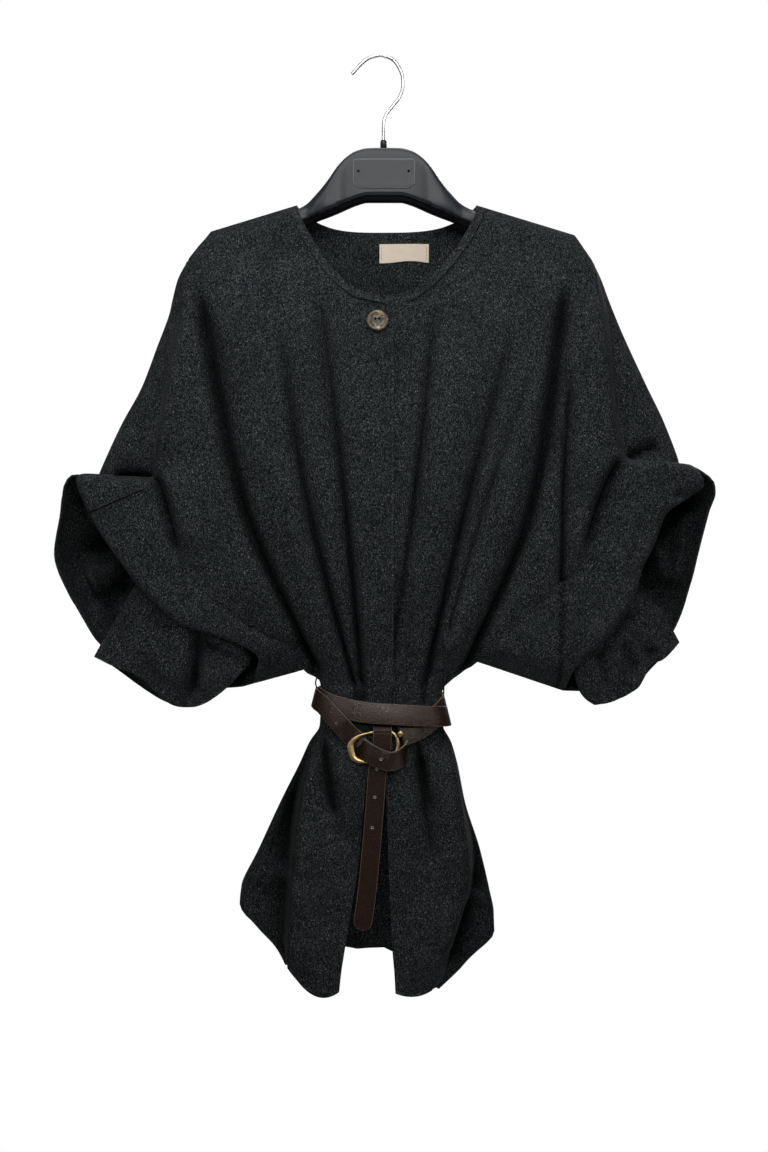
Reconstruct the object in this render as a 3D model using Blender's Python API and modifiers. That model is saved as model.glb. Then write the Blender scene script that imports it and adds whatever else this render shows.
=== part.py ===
"""A belted wool poncho hanging on a coat hanger, one named object for each cut and sewn piece.

Tables are in millimetres. "w" runs outwards from the hanger's middle, "z" upwards and "y" from the
front (minus) to the back (plus). The wearer's right half is on the viewer's left.
"""

import math

import bmesh
import bpy
import numpy as np
from mathutils import Vector
from mathutils.bvhtree import BVHTree

MM = 0.001
CLOTH = 2.0  # wall of the wool
GAP = 0.3  # between pieces at a seam
LEATHER = 2.2
BELT_WIDTH = 22.0
HOOK_INSIDE_TOP = (-4.0, 0.0, 3.7)  # becomes the origin
ROW_STEP = 38.0  # longest way between two rows of the cloth's grid
BODY_COLUMNS = 11
SLEEVE_COLUMNS = 5
NECK_FRACTION = 0.446  # share of a back row from the middle to the neck point
SHOULDER_SLOPE = 0.31
SHOULDER_ROUND = 24.0  # the shoulder rolls over the hanger's arm

# The cut of each half, a row per section. front: centre edge of the front panel. border: between the body
# and the sleeve or the skirt's side. edge: outer edge of the front. rim: outer edge of the back.
CUT = (
    "front_w", "front_z", "border_w", "border_z", "edge_w", "edge_z", "rim_w", "rim_z",
)
RIGHT_CUT = (
    (95, -161, 190, -190.5, 190, -190.5, 190, -190.5),
    (95, -163, 191, -192.5, 191, -192.5, 191, -192.5),
    (94, -168, 196, -199, 196, -199, 196, -199),
    (91, -178, 204, -208, 204, -208, 204, -208),
    (86, -188, 214, -221, 214, -221, 214, -221),
    (74, -210, 215, -243, 226, -243, 226, -243),
    (60, -232, 214, -262, 231, -262, 231, -262),
    (46, -248, 213, -280, 235, -280, 235, -280),
    (28, -262, 215, -297, 241, -297, 241, -297),
    (-10, -275, 217, -315, 248, -315, 248, -315),
    (-10, -330, 224, -360, 265, -360, 265, -360),
    (-10, -395, 232, -405, 289, -405, 289, -405),
    (-10, -457, 240, -457, 313, -459, 313, -459),
    (-10, -460, 240.3, -459, 315, -467, 315, -467),
    (-10, -463, 240.6, -461, 321, -464, 321, -464),
    (-10, -466, 240.6, -463, 328, -458, 328, -458),
    (-10, -470, 240.6, -466, 331, -462, 338, -459),
    (-10, -477, 239, -473, 327, -474, 346, -470),
    (-10, -503, 229, -503, 314, -503, 350, -500),
    (-10, -546, 217, -546, 286, -546, 358, -544),
    (-10, -580, 195, -580, 260, -580, 345, -584),
    (-10, -599, 176, -599, 241, -599, 331, -610),
    (-10, -618, 152, -616, 219, -618, 312, -642),
    (-10, -629, 134, -627, 185, -629, 285, -666),
    (-10, -641, 112, -637, 155, -640, 235, -684),
    (-10, -655, 90, -647, 134, -656, 185, -690),
    (-10, -666, 87, -659, 138, -672, 155, -688),
    (-10, -676, 87, -669, 142, -684, 142, -684),
    (-9, -686, 70, -680, 70, -680, 70, -680),
    (-8, -697, 67.6, -690, 67.6, -690, 67.6, -690),
    (-6, -712, 68, -712, 68, -712, 68, -712),
    (-2, -730, 69, -730, 69, -730, 69, -730),
    (10, -748, 75, -746, 80, -748, 80, -748),
    (17, -772, 79, -770, 91, -772, 91, -772),
    (22, -815, 86, -812, 112, -814, 112, -814),
    (27, -870, 93, -868, 137, -868, 137, -868),
    (34, -915, 96, -905, 156, -908, 156, -908),
    (38, -940, 98, -930, 158, -928, 158, -928),
    (42, -965, 99, -950, 140, -949, 140, -949),
    (45, -985, 100, -966, 121, -967, 121, -967),
    (47, -1004, 101, -980, 105, -984, 104, -982),
)
LEFT_CUT = (
    (101, -161, 209, -194.5, 209, -194.5, 209, -194.5),
    (101, -163, 210, -196.5, 210, -196.5, 210, -196.5),
    (100, -168, 214, -202, 214, -202, 214, -202),
    (98, -178, 220, -211, 220, -211, 220, -211),
    (93, -188, 228, -223, 228, -223, 228, -223),
    (80, -210, 228, -243, 238, -243, 238, -243),
    (66, -230, 229, -262, 245, -262, 245, -262),
    (50, -248, 231, -280, 252, -280, 252, -280),
    (32, -262, 233, -297, 259, -297, 259, -297),
    (-17, -276, 235, -315, 267, -315, 267, -315),
    (-17, -330, 238, -358, 287, -358, 287, -358),
    (-17, -388, 241, -398, 306, -398, 306, -398),
    (-17, -440, 250, -437, 322, -440, 322, -440),
    (-17, -444, 250.5, -439, 325, -452, 325, -452),
    (-17, -448, 251, -441, 330, -452, 330, -452),
    (-17, -452, 251, -443, 334, -449, 334, -449),
    (-17, -456, 250, -447, 340, -458, 345, -455),
    (-17, -466, 245, -457, 342, -470, 357, -466),
    (-17, -482, 236, -472, 322, -486, 359, -478),
    (-17, -505, 226, -496, 302, -500, 352, -500),
    (-17, -535, 213, -535, 289, -533, 343, -537),
    (-17, -560, 197, -562, 276, -560, 337, -566),
    (-17, -590, 174, -590, 267, -592, 331, -595),
    (-17, -612, 150, -612, 253, -614, 321, -622),
    (-17, -630, 127, -630, 232, -640, 300, -652),
    (-17, -645, 110, -643, 206, -664, 258, -683),
    (-17, -657, 103, -652, 199, -680, 222, -693),
    (-17, -668, 101, -660, 196, -692, 196, -692),
    (-15, -682, 74, -679, 74, -679, 74, -679),
    (-13, -696, 62.4, -693, 62.4, -693, 62.4, -693),
    (-8, -712, 62, -712, 62, -712, 62, -712),
    (-6, -730, 63, -730, 63, -730, 63, -730),
    (-3, -750, 70, -746, 72, -748, 72, -748),
    (1, -775, 76, -770, 79, -772, 79, -772),
    (3, -815, 82, -812, 88, -816, 88, -816),
    (5, -865, 88, -862, 104, -866, 104, -866),
    (7, -915, 83, -910, 115, -912, 115, -912),
    (8, -940, 75, -932, 120, -938, 120, -938),
    (9, -962, 68, -955, 120, -956, 120, -956),
    (11, -985, 60, -975, 95, -980, 98, -974),
    (12, -1005, 50, -1004, 58, -1009, 72, -985),
)

# Depths that both halves share, a row per section. outer: the sleeve or side layer of the front; edge: its
# outer edge; roll: how far in it rolls back to that edge. back_outer, rim and bowl: the same for the back.
# seam: 1 where front and back are sewn together at the outer edge.
DEPTHS = ("back_z", "outer", "edge", "roll", "back_outer", "rim", "bowl", "seam")
SHARED = (
    (-184, -24, 0, 24, 22, 0, 24, 1),
    (-186, -24, 0, 24, 22, 0, 24, 1),
    (-191, -24, 0, 24, 22, 0, 24, 1),
    (-199, -24, 0, 24, 22, 0, 24, 1),
    (-209, -24, 0, 24, 22, 0, 24, 1),
    (-226, -24, 0, 24, 22, 0, 24, 1),
    (-243, -24, 0, 24, 22, 0, 24, 1),
    (-262, -24, 0, 24, 22, 0, 24, 1),
    (-280, -24, 0, 24, 22, 0, 24, 1),
    (-298, -24, 0, 24, 22, 0, 24, 1),
    (-345, -24, 0, 24, 22, 0, 24, 1),
    (-398, -25, -1, 24, 22, -1, 24, 1),
    (-446, -25, -2, 24, 22, -2, 24, 1),
    (-449, -27, -4, 22, 24, -4, 24, 1),
    (-453, -34, -10, 20, 28, -10, 28, 1),
    (-457, -42, -18, 18, 32, -18, 32, 1),
    (-461, -48, -30, 14, 34, -24, 40, 0),
    (-471, -51, -43, 9, 35, -24, 48, 0),
    (-497, -51, -43, 9, 35, -22, 48, 0),
    (-540, -50, -42, 9, 34, -18, 48, 0),
    (-576, -50, -42, 9, 32, -12, 48, 0),
    (-597, -50, -42, 9, 30, -7, 48, 0),
    (-618, -49, -41, 9, 26, -1, 44, 0),
    (-633, -48, -40, 9, 22, 2, 40, 0),
    (-645, -47, -40, 9, 17, 2, 36, 0),
    (-655, -45, -38, 9, 10, -1, 30, 0),
    (-666, -30, -27, 9, 2, -5, 20, 0),
    (-676, -12, -10, 9, -8, -10, 10, 1),
    (-684, -15, -15, 9, -15, -15, 9, 1),
    (-697, -19, -19, 9, -19, -19, 9, 1),
    (-712, -19, -19, 9, -19, -19, 9, 1),
    (-730, -19, -19, 9, -19, -19, 9, 1),
    (-750, -36, -18, 20, 0, -18, 20, 1),
    (-775, -33, -15, 20, 8, -15, 20, 1),
    (-820, -27, -9, 20, 18, -9, 20, 1),
    (-872, -23, -3, 20, 27, -3, 20, 1),
    (-915, -21, 1, 20, 32, 1, 20, 1),
    (-940, -21, 2, 20, 34, 2, 20, 1),
    (-960, -23, -12, 20, 38, 20, 20, 0),
    (-977, -30, -24, 20, 43, 32, 20, 0),
    (-990, -46, -42, 20, 48, 44, 20, 0),
)
SLEEVE_START = 4  # section at the shoulder's end, where the sleeve parts from the body
SKIRT_ROW = 32
# How far the hems hang down between their ends.
HEM_SAG = {-1: 16.0, 1: 4.0}
BACK_HEM_SAG = 3.0

# How far the cloth stands off in front and behind, from the shoulder down.
FRONT_DEPTH = (
    (-161, -24), (-210, -31), (-250, -44), (-300, -54), (-360, -60), (-430, -62), (-520, -60),
    (-600, -55), (-655, -49), (-690, -46), (-730, -46), (-770, -54), (-850, -63), (-920, -69), (-1010, -74),
)
BACK_DEPTH = (
    (-161, 24), (-230, 26), (-300, 30), (-380, 34), (-480, 34), (-580, 29), (-650, 20), (-690, 11),
    (-730, 11), (-770, 22), (-850, 36), (-920, 46), (-1000, 54),
)
# The waist under the belt, seen from above.
WAIST = {"x": -3.0, "y": -19.0, "wide": 65.0, "deep": 29.0, "square": 2.3}

# Largest folds, a row per fold: three points of its line, its height (plus stands out, minus sinks in) at the
# top and at the bottom, and its half width at the top and at the bottom.
FOLD = ("w1", "z1", "w2", "z2", "w3", "z3", "high1", "high3", "half1", "half3")
RIGHT_FOLDS = (
    (170, -286, 137, -465, 84, -650, -6, -11, 20, 13),
    (148, -354, 115, -470, 50, -650, 5, 8, 20, 13),
    (135, -310, 91, -451, 24, -676, -4, -9, 18, 9),
    (77, -286, 66, -480, 17, -676, 5, 7, 20, 9),
    (57, -280, 45, -450, 12, -686, -4, -8, 14, 7),
    (23, -320, 12, -500, 5, -676, 3, 5, 16, 8),
    (64, -742, 58, -785, 48, -835, -7, -2, 8, 8),
    (45, -745, 42, -820, 60, -960, 5, 2, 14, 24),
    (88, -760, 92, -850, 96, -960, 3, 4, 9, 14),
)
LEFT_FOLDS = (
    (103, -286, 59, -451, 22, -600, 5, 8, 20, 14),
    (127, -305, 92, -475, 45, -686, -5, -11, 18, 9),
    (151, -329, 115, -500, 64, -676, 5, 9, 20, 12),
    (176, -280, 152, -440, 95, -645, -5, -9, 20, 13),
    (207, -250, 218, -400, 206, -560, 4, 3, 18, 14),
    (190, -413, 188, -540, 194, -685, -6, -8, 10, 8),
    (-2, -600, 0, -650, 5, -689, -3, -7, 10, 8),
    (36, -745, 42, -800, 50, -860, -8, -3, 11, 14),
    (66, -745, 72, -820, 66, -950, 5, 3, 12, 14),
    (18, -760, 24, -860, 34, -990, 4, 3, 12, 16),
)
BACK_FOLDS = (
    (176, -300, 140, -470, 82, -660, -6, -10, 20, 12),
    (140, -310, 104, -480, 62, -672, 5, 9, 20, 12),
    (104, -300, 74, -480, 42, -680, -5, -10, 18, 10),
    (60, -330, 44, -500, 24, -680, 4, 8, 18, 10),
    (22, -360, 14, -520, 7, -684, -4, -8, 16, 8),
    (22, -745, 26, -850, 30, -985, -7, -6, 10, 22),
    (48, -745, 62, -850, 74, -975, 6, 7, 10, 20),
    (68, -750, 92, -850, 112, -960, -5, -6, 9, 18),
)


def smooth(t):
    """0 to 1 with level ends."""
    t = np.clip(t, 0.0, 1.0)
    return t * t * (3 - 2 * t)


def glide(table_x, table_y, x):
    """A curve through the table that never overshoots it; table_x rises."""
    xs = np.asarray(table_x, float)
    ys = np.asarray(table_y, float)
    step = np.diff(xs)
    slope = np.diff(ys) / step
    tangent = np.zeros(len(xs))
    same = slope[:-1] * slope[1:] > 0
    inner = np.zeros(len(slope) - 1)
    inner[same] = 2 * slope[:-1][same] * slope[1:][same] / (slope[:-1] + slope[1:])[same]
    tangent[1:-1] = inner
    tangent[0], tangent[-1] = slope[0], slope[-1]
    x = np.clip(x, xs[0], xs[-1])
    i = np.clip(np.searchsorted(xs, x, side="right") - 1, 0, len(step) - 1)
    h = step[i]
    t = (x - xs[i]) / h
    rise = t * t * (3 - 2 * t)
    return (
        ys[i] + (ys[i + 1] - ys[i]) * rise
        + h * (tangent[i] * t * (1 - t) ** 2 - tangent[i + 1] * t * t * (1 - t))
    )


def column(table, names, name):
    return np.array([row[names.index(name)] for row in table], float)


def depth_at(table, z):
    rows = table[::-1]
    return glide([row[0] for row in rows], [row[1] for row in rows], z)


def roll(t):
    """A quarter round: 0 on the edge, 1 from one radius inwards."""
    t = np.clip(t, 0.0, 1.0)
    return np.sqrt(np.maximum(0.0, 1 - (1 - t) ** 2))


def section_steps(row_step):
    """Places between the sections, so that no two rows are further apart than row_step."""
    fall = np.zeros(len(SHARED) - 1)
    for table, names, name in (
        (RIGHT_CUT, CUT, "edge_z"), (LEFT_CUT, CUT, "edge_z"), (SHARED, DEPTHS, "back_z"),
    ):
        fall = np.maximum(fall, abs(np.diff(column(table, names, name))))
    places = []
    for i, drop in enumerate(fall):
        count = max(1, math.ceil(drop / row_step))
        places += [i + k / count for k in range(count)]
    return np.array(places + [len(SHARED) - 1.0])


class Half:
    """One half of the poncho at the places asked for: every column of its cut and of the shared depths."""

    def __init__(self, side, cut, folds, places):
        self.side = side
        self.hem_sag = HEM_SAG[side]
        self.folds = folds
        self.cut = cut
        index = np.arange(len(SHARED))
        self.rows = {name: glide(index, column(cut, CUT, name), places) for name in CUT}
        self.depths = {name: glide(index, column(SHARED, DEPTHS, name), places) for name in DEPTHS}
        self.places = places
        self.neck_w = cut[0][0]
        self.over = None

    def outline_w(self, z, name):
        """Distance out to a named edge at a level of the body."""
        keep = [0] + [i for i in range(1, len(self.cut)) if not 12 < i < 18]
        levels = column(self.cut, CUT, name.replace("_w", "_z"))[keep]
        outs = column(self.cut, CUT, name)[keep]
        order = np.argsort(levels)
        return np.interp(z, levels[order], outs[order])

    def shoulder_z(self, w):
        return -161 - SHOULDER_SLOPE * np.maximum(np.asarray(w, float) - self.neck_w, 0)


def folds_at(folds, w, z):
    """Height of all folds at a place, each fading past the ends of its line."""
    total = np.zeros(np.broadcast(w, z).shape)
    for row in folds:
        fold = dict(zip(FOLD, row))
        levels = [fold["z3"], fold["z2"], fold["z1"]]
        centre = glide(levels, [fold["w3"], fold["w2"], fold["w1"]], z)
        t = (z - fold["z1"]) / (fold["z3"] - fold["z1"])
        high = fold["high1"] + (fold["high3"] - fold["high1"]) * np.clip(t, 0, 1)
        half = fold["half1"] + (fold["half3"] - fold["half1"]) * np.clip(t, 0, 1)
        fade = smooth((fold["z1"] + 25 - z) / 60) * smooth((z - fold["z3"] + 22) / 22)
        total = total + high * fade * np.exp(-(((w - centre) / half) ** 2))
    return total


def waist_y(half, w, sign):
    """The cloth's ring under the belt."""
    out = abs((half.side * w - WAIST["x"]) / WAIST["wide"])
    square = WAIST["square"]
    round_off = np.maximum(0.0, 1 - np.minimum(out, 1.0) ** square) ** (1 / square)
    return WAIST["y"] + sign * WAIST["deep"] * round_off


def flat_y(half, w, z, sign):
    """Depth of a body panel before its outer edge rolls in. sign is -1 in front and 1 behind."""
    border = half.outline_w(z, "border_w")
    table = FRONT_DEPTH if sign < 0 else BACK_DEPTH
    folds = half.folds if sign < 0 else BACK_FOLDS
    y = depth_at(table, z) - sign * 9 * np.clip(abs(w) / border, 0, 1.2) ** 4 * smooth((-200 - z) / 80)
    y = y + sign * folds_at(folds, w, z)
    pinch = smooth((-638 - z) / 46) * smooth((z + 775) / 45)
    y = y + (waist_y(half, w, sign) - y) * pinch
    sewn = smooth((-646 - z) / 22) * smooth((z + 750) / 18)
    seam_y = np.interp(z, (-700, -665), (-19, -10))
    side = np.clip((border - w) / 26, 0, 1)
    return y + (seam_y + (y - seam_y) * roll(side) - y) * sewn * (1 - pinch)


def body_y(half, w, z, sign):
    """Depth of a body panel with its roll over the shoulder and into the sleeve's top."""
    y = flat_y(half, w, z, sign)
    name = "edge_w" if sign < 0 else "rim_w"
    top = roll((half.shoulder_z(w) - z) / SHOULDER_ROUND)
    out = roll((half.outline_w(z, name) - w) / 24)
    out = 1 - (1 - out) * smooth((z + 470) / 20)
    y = y * np.minimum(top, out)
    if sign < 0 and half.over is not None:
        # Under the right front it follows that panel from inside.
        under = body_y(half.over, -w, z, sign) + CLOTH + GAP + 2.0
        y = y + (under - y) * smooth((36 - w) / 14) * smooth((-250 - z) / 16) * smooth((z + 775) / 30)
    return y


def body_grid(half, sign, columns):
    """Rows of points of one half panel, from its centre out to its border."""
    rows, depths = half.rows, half.depths
    if sign < 0:
        start_w, start_z = rows["front_w"], rows["front_z"]
        share = np.linspace(0, 1, columns + 1)
    else:
        start_w, start_z = 0 * rows["front_w"], depths["back_z"]
        inner = max(3, round(columns * NECK_FRACTION))
        share = np.concatenate([
            np.linspace(0, NECK_FRACTION, inner + 1)[:-1],
            np.linspace(NECK_FRACTION, 1, columns - inner + 1),
        ])
    w = start_w[:, None] + (rows["border_w"] - start_w)[:, None] * share
    z = start_z[:, None] + (rows["border_z"] - start_z)[:, None] * share
    if sign > 0:
        # The top row follows the neck and the shoulder; lower rows straighten out.
        top = np.where(
            w <= half.neck_w,
            -184 + 23 * np.clip(w / half.neck_w, 0, 1) ** 3.2,
            half.shoulder_z(w),
        )
        line = -184 + (rows["border_z"][0] + 184) * share
        fade = 1 - smooth((half.places - 4) / 5)
        z = z + (top - line) * fade[:, None]
    hem = smooth((half.places - 35) / 5)[:, None] * 4 * share * (1 - share)
    z = z - hem * (half.hem_sag if sign < 0 else BACK_HEM_SAG)
    y = body_y(half, w, z, sign)
    return np.stack([half.side * w, y, z], axis=-1)


def outer_grid(half, sign, border, columns, first, last):
    """Rows of the sleeve's or the skirt side's layer, from the body's border out to the edge."""
    rows, depths = half.rows, half.depths
    keep = (half.places >= first) & (half.places <= last)
    end, layer, seam, radius = (
        ("edge", "outer", "edge", "roll") if sign < 0 else ("rim", "back_outer", "rim", "bowl")
    )
    edge_w, edge_z = rows[end + "_w"][keep], rows[end + "_z"][keep]
    start = border[keep]
    start_w = half.side * start[:, 0]
    width = np.maximum(edge_w - start_w, 1e-6)
    share = np.linspace(0, 1, columns + 1) ** 0.8
    share = 1 - (1 - share) ** 1.35
    w = start_w[:, None] + width[:, None] * share
    z = start[:, 2][:, None] + (edge_z - start[:, 2])[:, None] * share
    step = np.where(first < SKIRT_ROW, 14.0, 8.0)
    flat = flat_y(half, start_w, start[:, 2], sign)
    if first >= SKIRT_ROW - 1:
        flat = start[:, 1]
    inward = smooth((w - start_w[:, None]) / np.minimum(step, width * 0.7)[:, None])
    y = flat[:, None] + (depths[layer][keep] - flat)[:, None] * inward
    seam_y = depths[seam][keep][:, None]
    out = roll((edge_w[:, None] - w) / depths[radius][keep][:, None])
    top = roll((half.shoulder_z(w) - z) / SHOULDER_ROUND)
    y = seam_y + (y - seam_y) * np.minimum(out, np.where(z > -240, top, 1))
    points = np.stack([half.side * w, y, z], axis=-1)
    points[:, 0] = start
    return points, keep


class Sheet:
    """A cloth surface gathered from grids that share their borders, then given its wall."""

    def __init__(self):
        self.points = []
        self.index = {}
        self.faces = []
        self.sewn = set()

    def vertex(self, point, sewn):
        key = tuple(np.round(point, 2))
        if key not in self.index:
            self.index[key] = len(self.points)
            self.points.append(np.asarray(point, float))
        if sewn:
            self.sewn.add(self.index[key])
        return self.index[key]

    def add(self, grid, sewn=None):
        rows, columns = grid.shape[:2]
        ids = [
            [self.vertex(grid[i, j], sewn is not None and sewn[i, j]) for j in range(columns)]
            for i in range(rows)
        ]
        for i in range(rows - 1):
            for j in range(columns - 1):
                ring = [ids[i][j], ids[i][j + 1], ids[i + 1][j + 1], ids[i + 1][j]]
                ring = [v for k, v in enumerate(ring) if v != ring[k - 1]]
                if len(set(ring)) == len(ring) and len(ring) > 2:
                    self.faces.append(ring)

    def lift(self, towards, distance):
        """Moves the surface out along its own normals, on the side given."""
        mesh = bpy.data.meshes.new("lifted")
        mesh.from_pydata([Vector(p) for p in self.points], [], self.faces)
        for i, vertex in enumerate(mesh.vertices):
            normal = vertex.normal if vertex.normal.dot(towards) > 0 else -vertex.normal
            self.points[i] = self.points[i] + np.array(normal) * distance
        bpy.data.meshes.remove(mesh)

    def wall(self, name, thickness, colour):
        """The closed solid: the surface moved half a wall out each way, with its rim closed."""
        mesh = bpy.data.meshes.new(name)
        mesh.from_pydata([Vector(p) for p in self.points], [], self.faces)
        bm = bmesh.new()
        bm.from_mesh(mesh)
        bmesh.ops.recalc_face_normals(bm, faces=bm.faces)
        bm.normal_update()
        half_wall = thickness / 2
        normals = []
        for vertex in bm.verts:
            normal = vertex.normal.copy()
            if vertex.index in self.sewn:
                normal.y = 0
            normals.append(normal.normalized() * half_wall)
        outer = [bm.verts.new(v.co + n) for v, n in zip(list(bm.verts), normals)]
        inner_count = len(normals)
        bm.verts.ensure_lookup_table()
        for i in range(inner_count):
            bm.verts[i].co -= normals[i]
        old_faces = list(bm.faces)
        edges = [edge for edge in bm.edges if edge.is_boundary]
        rims = []
        for edge in edges:
            loop = edge.link_loops[0]
            rims.append((loop.vert.index, loop.link_loop_next.vert.index))
        for face in old_faces:
            bm.faces.new([outer[v.index] for v in face.verts])
            face.normal_flip()
        for a, b in rims:
            bm.faces.new([bm.verts[a], bm.verts[b], outer[b], outer[a]])
        bmesh.ops.recalc_face_normals(bm, faces=bm.faces)
        if bm.calc_volume(signed=True) < 0:
            bmesh.ops.reverse_faces(bm, faces=bm.faces)
        for vertex in bm.verts:
            vertex.co *= MM
        bm.to_mesh(mesh)
        bm.free()
        return finish(bpy.data.objects.new(name, mesh), colour)


COLOURS = {
    "wool": ((0.030, 0.031, 0.034), 0.95, 0.0),
    "leather": ((0.040, 0.024, 0.020), 0.5, 0.0),
    "brass": ((0.42, 0.30, 0.10), 0.35, 1.0),
    "horn": ((0.20, 0.16, 0.10), 0.25, 0.0),
    "label": ((0.74, 0.62, 0.50), 0.9, 0.0),
    "black_plastic": ((0.035, 0.036, 0.040), 0.35, 0.0),
    "chrome": ((0.75, 0.75, 0.77), 0.15, 1.0),
}


def finish(obj, colour):
    """Puts an object in the scene with its material, the hook's inside top at the origin."""
    material = bpy.data.materials.get(colour) or bpy.data.materials.new(colour)
    material.use_nodes = True
    base, rough, metal = COLOURS[colour]
    shader = material.node_tree.nodes["Principled BSDF"]
    shader.inputs["Base Color"].default_value = (*base, 1)
    shader.inputs["Roughness"].default_value = rough
    shader.inputs["Metallic"].default_value = metal
    obj.data.materials.clear()
    obj.data.materials.append(material)
    if obj.name not in bpy.context.scene.collection.objects:
        bpy.context.scene.collection.objects.link(obj)
    obj.location = Vector(obj.location) - Vector(HOOK_INSIDE_TOP) * MM
    return obj


def sewn_mask(grid_shape, seam_rows, top_from=None):
    """Marks the last column on the given rows, and the first row from a column on."""
    mask = np.zeros(grid_shape[:2], bool)
    mask[seam_rows, -1] = True
    if top_from is not None:
        mask[0, top_from:] = True
    return mask


def half_blocks(sheet, half, sign, columns, sleeve_columns):
    """Adds one half panel: its body, its sleeve and its skirt side."""
    body = body_grid(half, sign, columns)
    places = half.places
    border_sewn = (places >= 27) & (places <= 31)
    # Near the shoulder's end the border is the outer edge itself.
    border_sewn = border_sewn | (places <= SLEEVE_START)
    inner = max(3, round(columns * NECK_FRACTION)) if sign > 0 else 0
    # A little more where the seam turns round in the tuck.
    apart = sign * GAP / 2 * (1 + 6 * ((places > 12.5) & (places < 16)))
    border = body[:, -1].copy()
    grids = [(body, sewn_mask(body.shape, border_sewn, inner), apart)]
    for first, last in ((SLEEVE_START, 27), (31, len(SHARED) - 1)):
        grid, keep = outer_grid(half, sign, border, sleeve_columns, first, last)
        seam = half.depths["seam"][keep] > 0.99
        mask = sewn_mask(grid.shape, seam)
        mask[0, :] = True
        if first == SLEEVE_START:
            mask[-1, :] = True
        grids.append((grid, mask, apart[keep]))
    for grid, mask, gap in grids:
        moved = grid.copy()
        moved[..., 1] += np.where(mask, gap[:, None], 0)
        sheet.add(moved, mask)


def make_halves(row_step):
    places = section_steps(row_step)
    right, left = Half(-1, RIGHT_CUT, RIGHT_FOLDS, places), Half(1, LEFT_CUT, LEFT_FOLDS, places)
    left.over = right
    return right, left


def make_cloth():
    """The three panels, and for each a tree that gives the depth of its middle surface at a place."""
    right, left = make_halves(ROW_STEP)
    trees = {}
    for name, halves, sign in (
        ("front_right", (right,), -1), ("front_left", (left,), -1), ("back", (right, left), 1),
    ):
        sheet = Sheet()
        for half in halves:
            half_blocks(sheet, half, sign, BODY_COLUMNS, SLEEVE_COLUMNS)
        sheet.wall(name, CLOTH, "wool")
        trees[name] = BVHTree.FromPolygons([Vector(p) for p in sheet.points], sheet.faces)
    return right, left, trees


def depth_on(tree, x, z, start=-300):
    """Depth of a panel seen from the front at a place, or None beside it."""
    hit = tree.ray_cast(Vector((x, start, z)), Vector((0, 1, 0)))[0]
    return None if hit is None else hit.y


# The stitched band round the neck lies on the panels.
BAND_WIDTH = 9.0
BAND = 1.0


def neck_band(name, tree, line, away, facing):
    """A thin strip along a neckline. away points from the opening into the cloth."""
    sheet = Sheet()
    lift = CLOTH / 2 + GAP + BAND / 2 + 0.4
    rows = []
    for (x, z), (dx, dz) in zip(line, away):
        row = []
        for share in (0.06, 0.5, 1.0):
            px, pz = x + dx * BAND_WIDTH * share, z + dz * BAND_WIDTH * share
            y, tilt = surface(tree, px, pz, facing)
            row.append((px + tilt.x * lift, y + tilt.y * lift, pz + tilt.z * lift))
        rows.append(row)
    sheet.add(np.array(rows))
    sheet.wall(name, BAND, "wool")


def surface(tree, x, z, facing):
    """Depth and outward normal of a panel at a place, looked at from its outside."""
    start = Vector((x, facing * 300, z))
    hit, normal, _, _ = tree.ray_cast(start, Vector((0, -facing, 0)))
    if hit is None:
        # Just beside the panel: its nearest point.
        hit, normal, _, _ = tree.find_nearest(Vector((x, facing * 30, z)))
    if normal.y * facing < 0:
        normal = -normal
    return hit.y, normal


def offsets_from(line, centre):
    """Unit vectors across a line, away from a centre."""
    line = np.asarray(line, float)
    along = np.gradient(line, axis=0)
    across = np.stack([along[:, 1], -along[:, 0]], axis=1)
    across /= np.linalg.norm(across, axis=1)[:, None]
    outward = ((line - centre) * across).sum(axis=1)
    return across * np.where(outward < 0, -1, 1)[:, None]


NECK_CENTRE = (0.0, -200.0)
BAND_START = 2.3  # sections of the cut: just in front of the shoulder seam


def make_neck_bands(right, left, trees):
    index = np.arange(len(SHARED))
    for name, half, cut in (("right", right, RIGHT_CUT), ("left", left, LEFT_CUT)):
        places = np.linspace(BAND_START, 8.9, 12)
        w = glide(index, column(cut, CUT, "front_w"), places)
        z = glide(index, column(cut, CUT, "front_z"), places)
        if name == "left":
            # The part under the right front stays inside it.
            keep = w > 16
            w, z = w[keep], z[keep]
        line = np.stack([half.side * w, z], axis=1)
        panel = trees["front_" + name]
        neck_band("neck_band_" + name, panel, line, offsets_from(line, NECK_CENTRE), -1)
    make_back_band(right, left)


def make_back_band(right, left):
    """The band behind the neck: the top of the back's own grid, moved out."""
    inner = max(3, round(BODY_COLUMNS * NECK_FRACTION))
    strips = []
    for half in (right, left):
        grid = body_grid(half, 1, BODY_COLUMNS)[:3, :inner]
        strips.append(grid[:, ::-1] if half.side < 0 else grid[:, 1:])
    grid = np.concatenate(strips, axis=1)
    sheet = Sheet()
    sheet.add(grid)
    sheet.lift(Vector((0, 1, 0)), CLOTH / 2 + GAP + BAND / 2 + 0.6)
    sheet.wall("neck_band_back", BAND, "wool")


# Rings of the sleeve ends, from inside the arm opening to the hem: the ring's outer and inner end, how far it
# sags between them, and the depth of its front and back walls.
CUFF = ("outer_w", "outer_z", "inner_w", "inner_z", "sag", "front", "back")
RIGHT_CUFF = (
    (256, -562, 166, -606, 0, -44, -22),
    (276, -590, 154, -634, 10, -38, -12),
    (291, -616, 148, -648, 22, -35, -9),
    (304, -638, 145, -656, 36, -33, -8),
    (314, -656, 147, -664, 50, -32, -8),
)
LEFT_CUFF = (
    (252, -575, 203, -632, 0, -44, -22),
    (280, -590, 207, -672, 5, -36, -12),
    (298, -604, 213, -692, 8, -33, -10),
    (309, -620, 220, -701, 10, -31, -9),
    (320, -640, 229, -707, 14, -31, -9),
)
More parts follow.
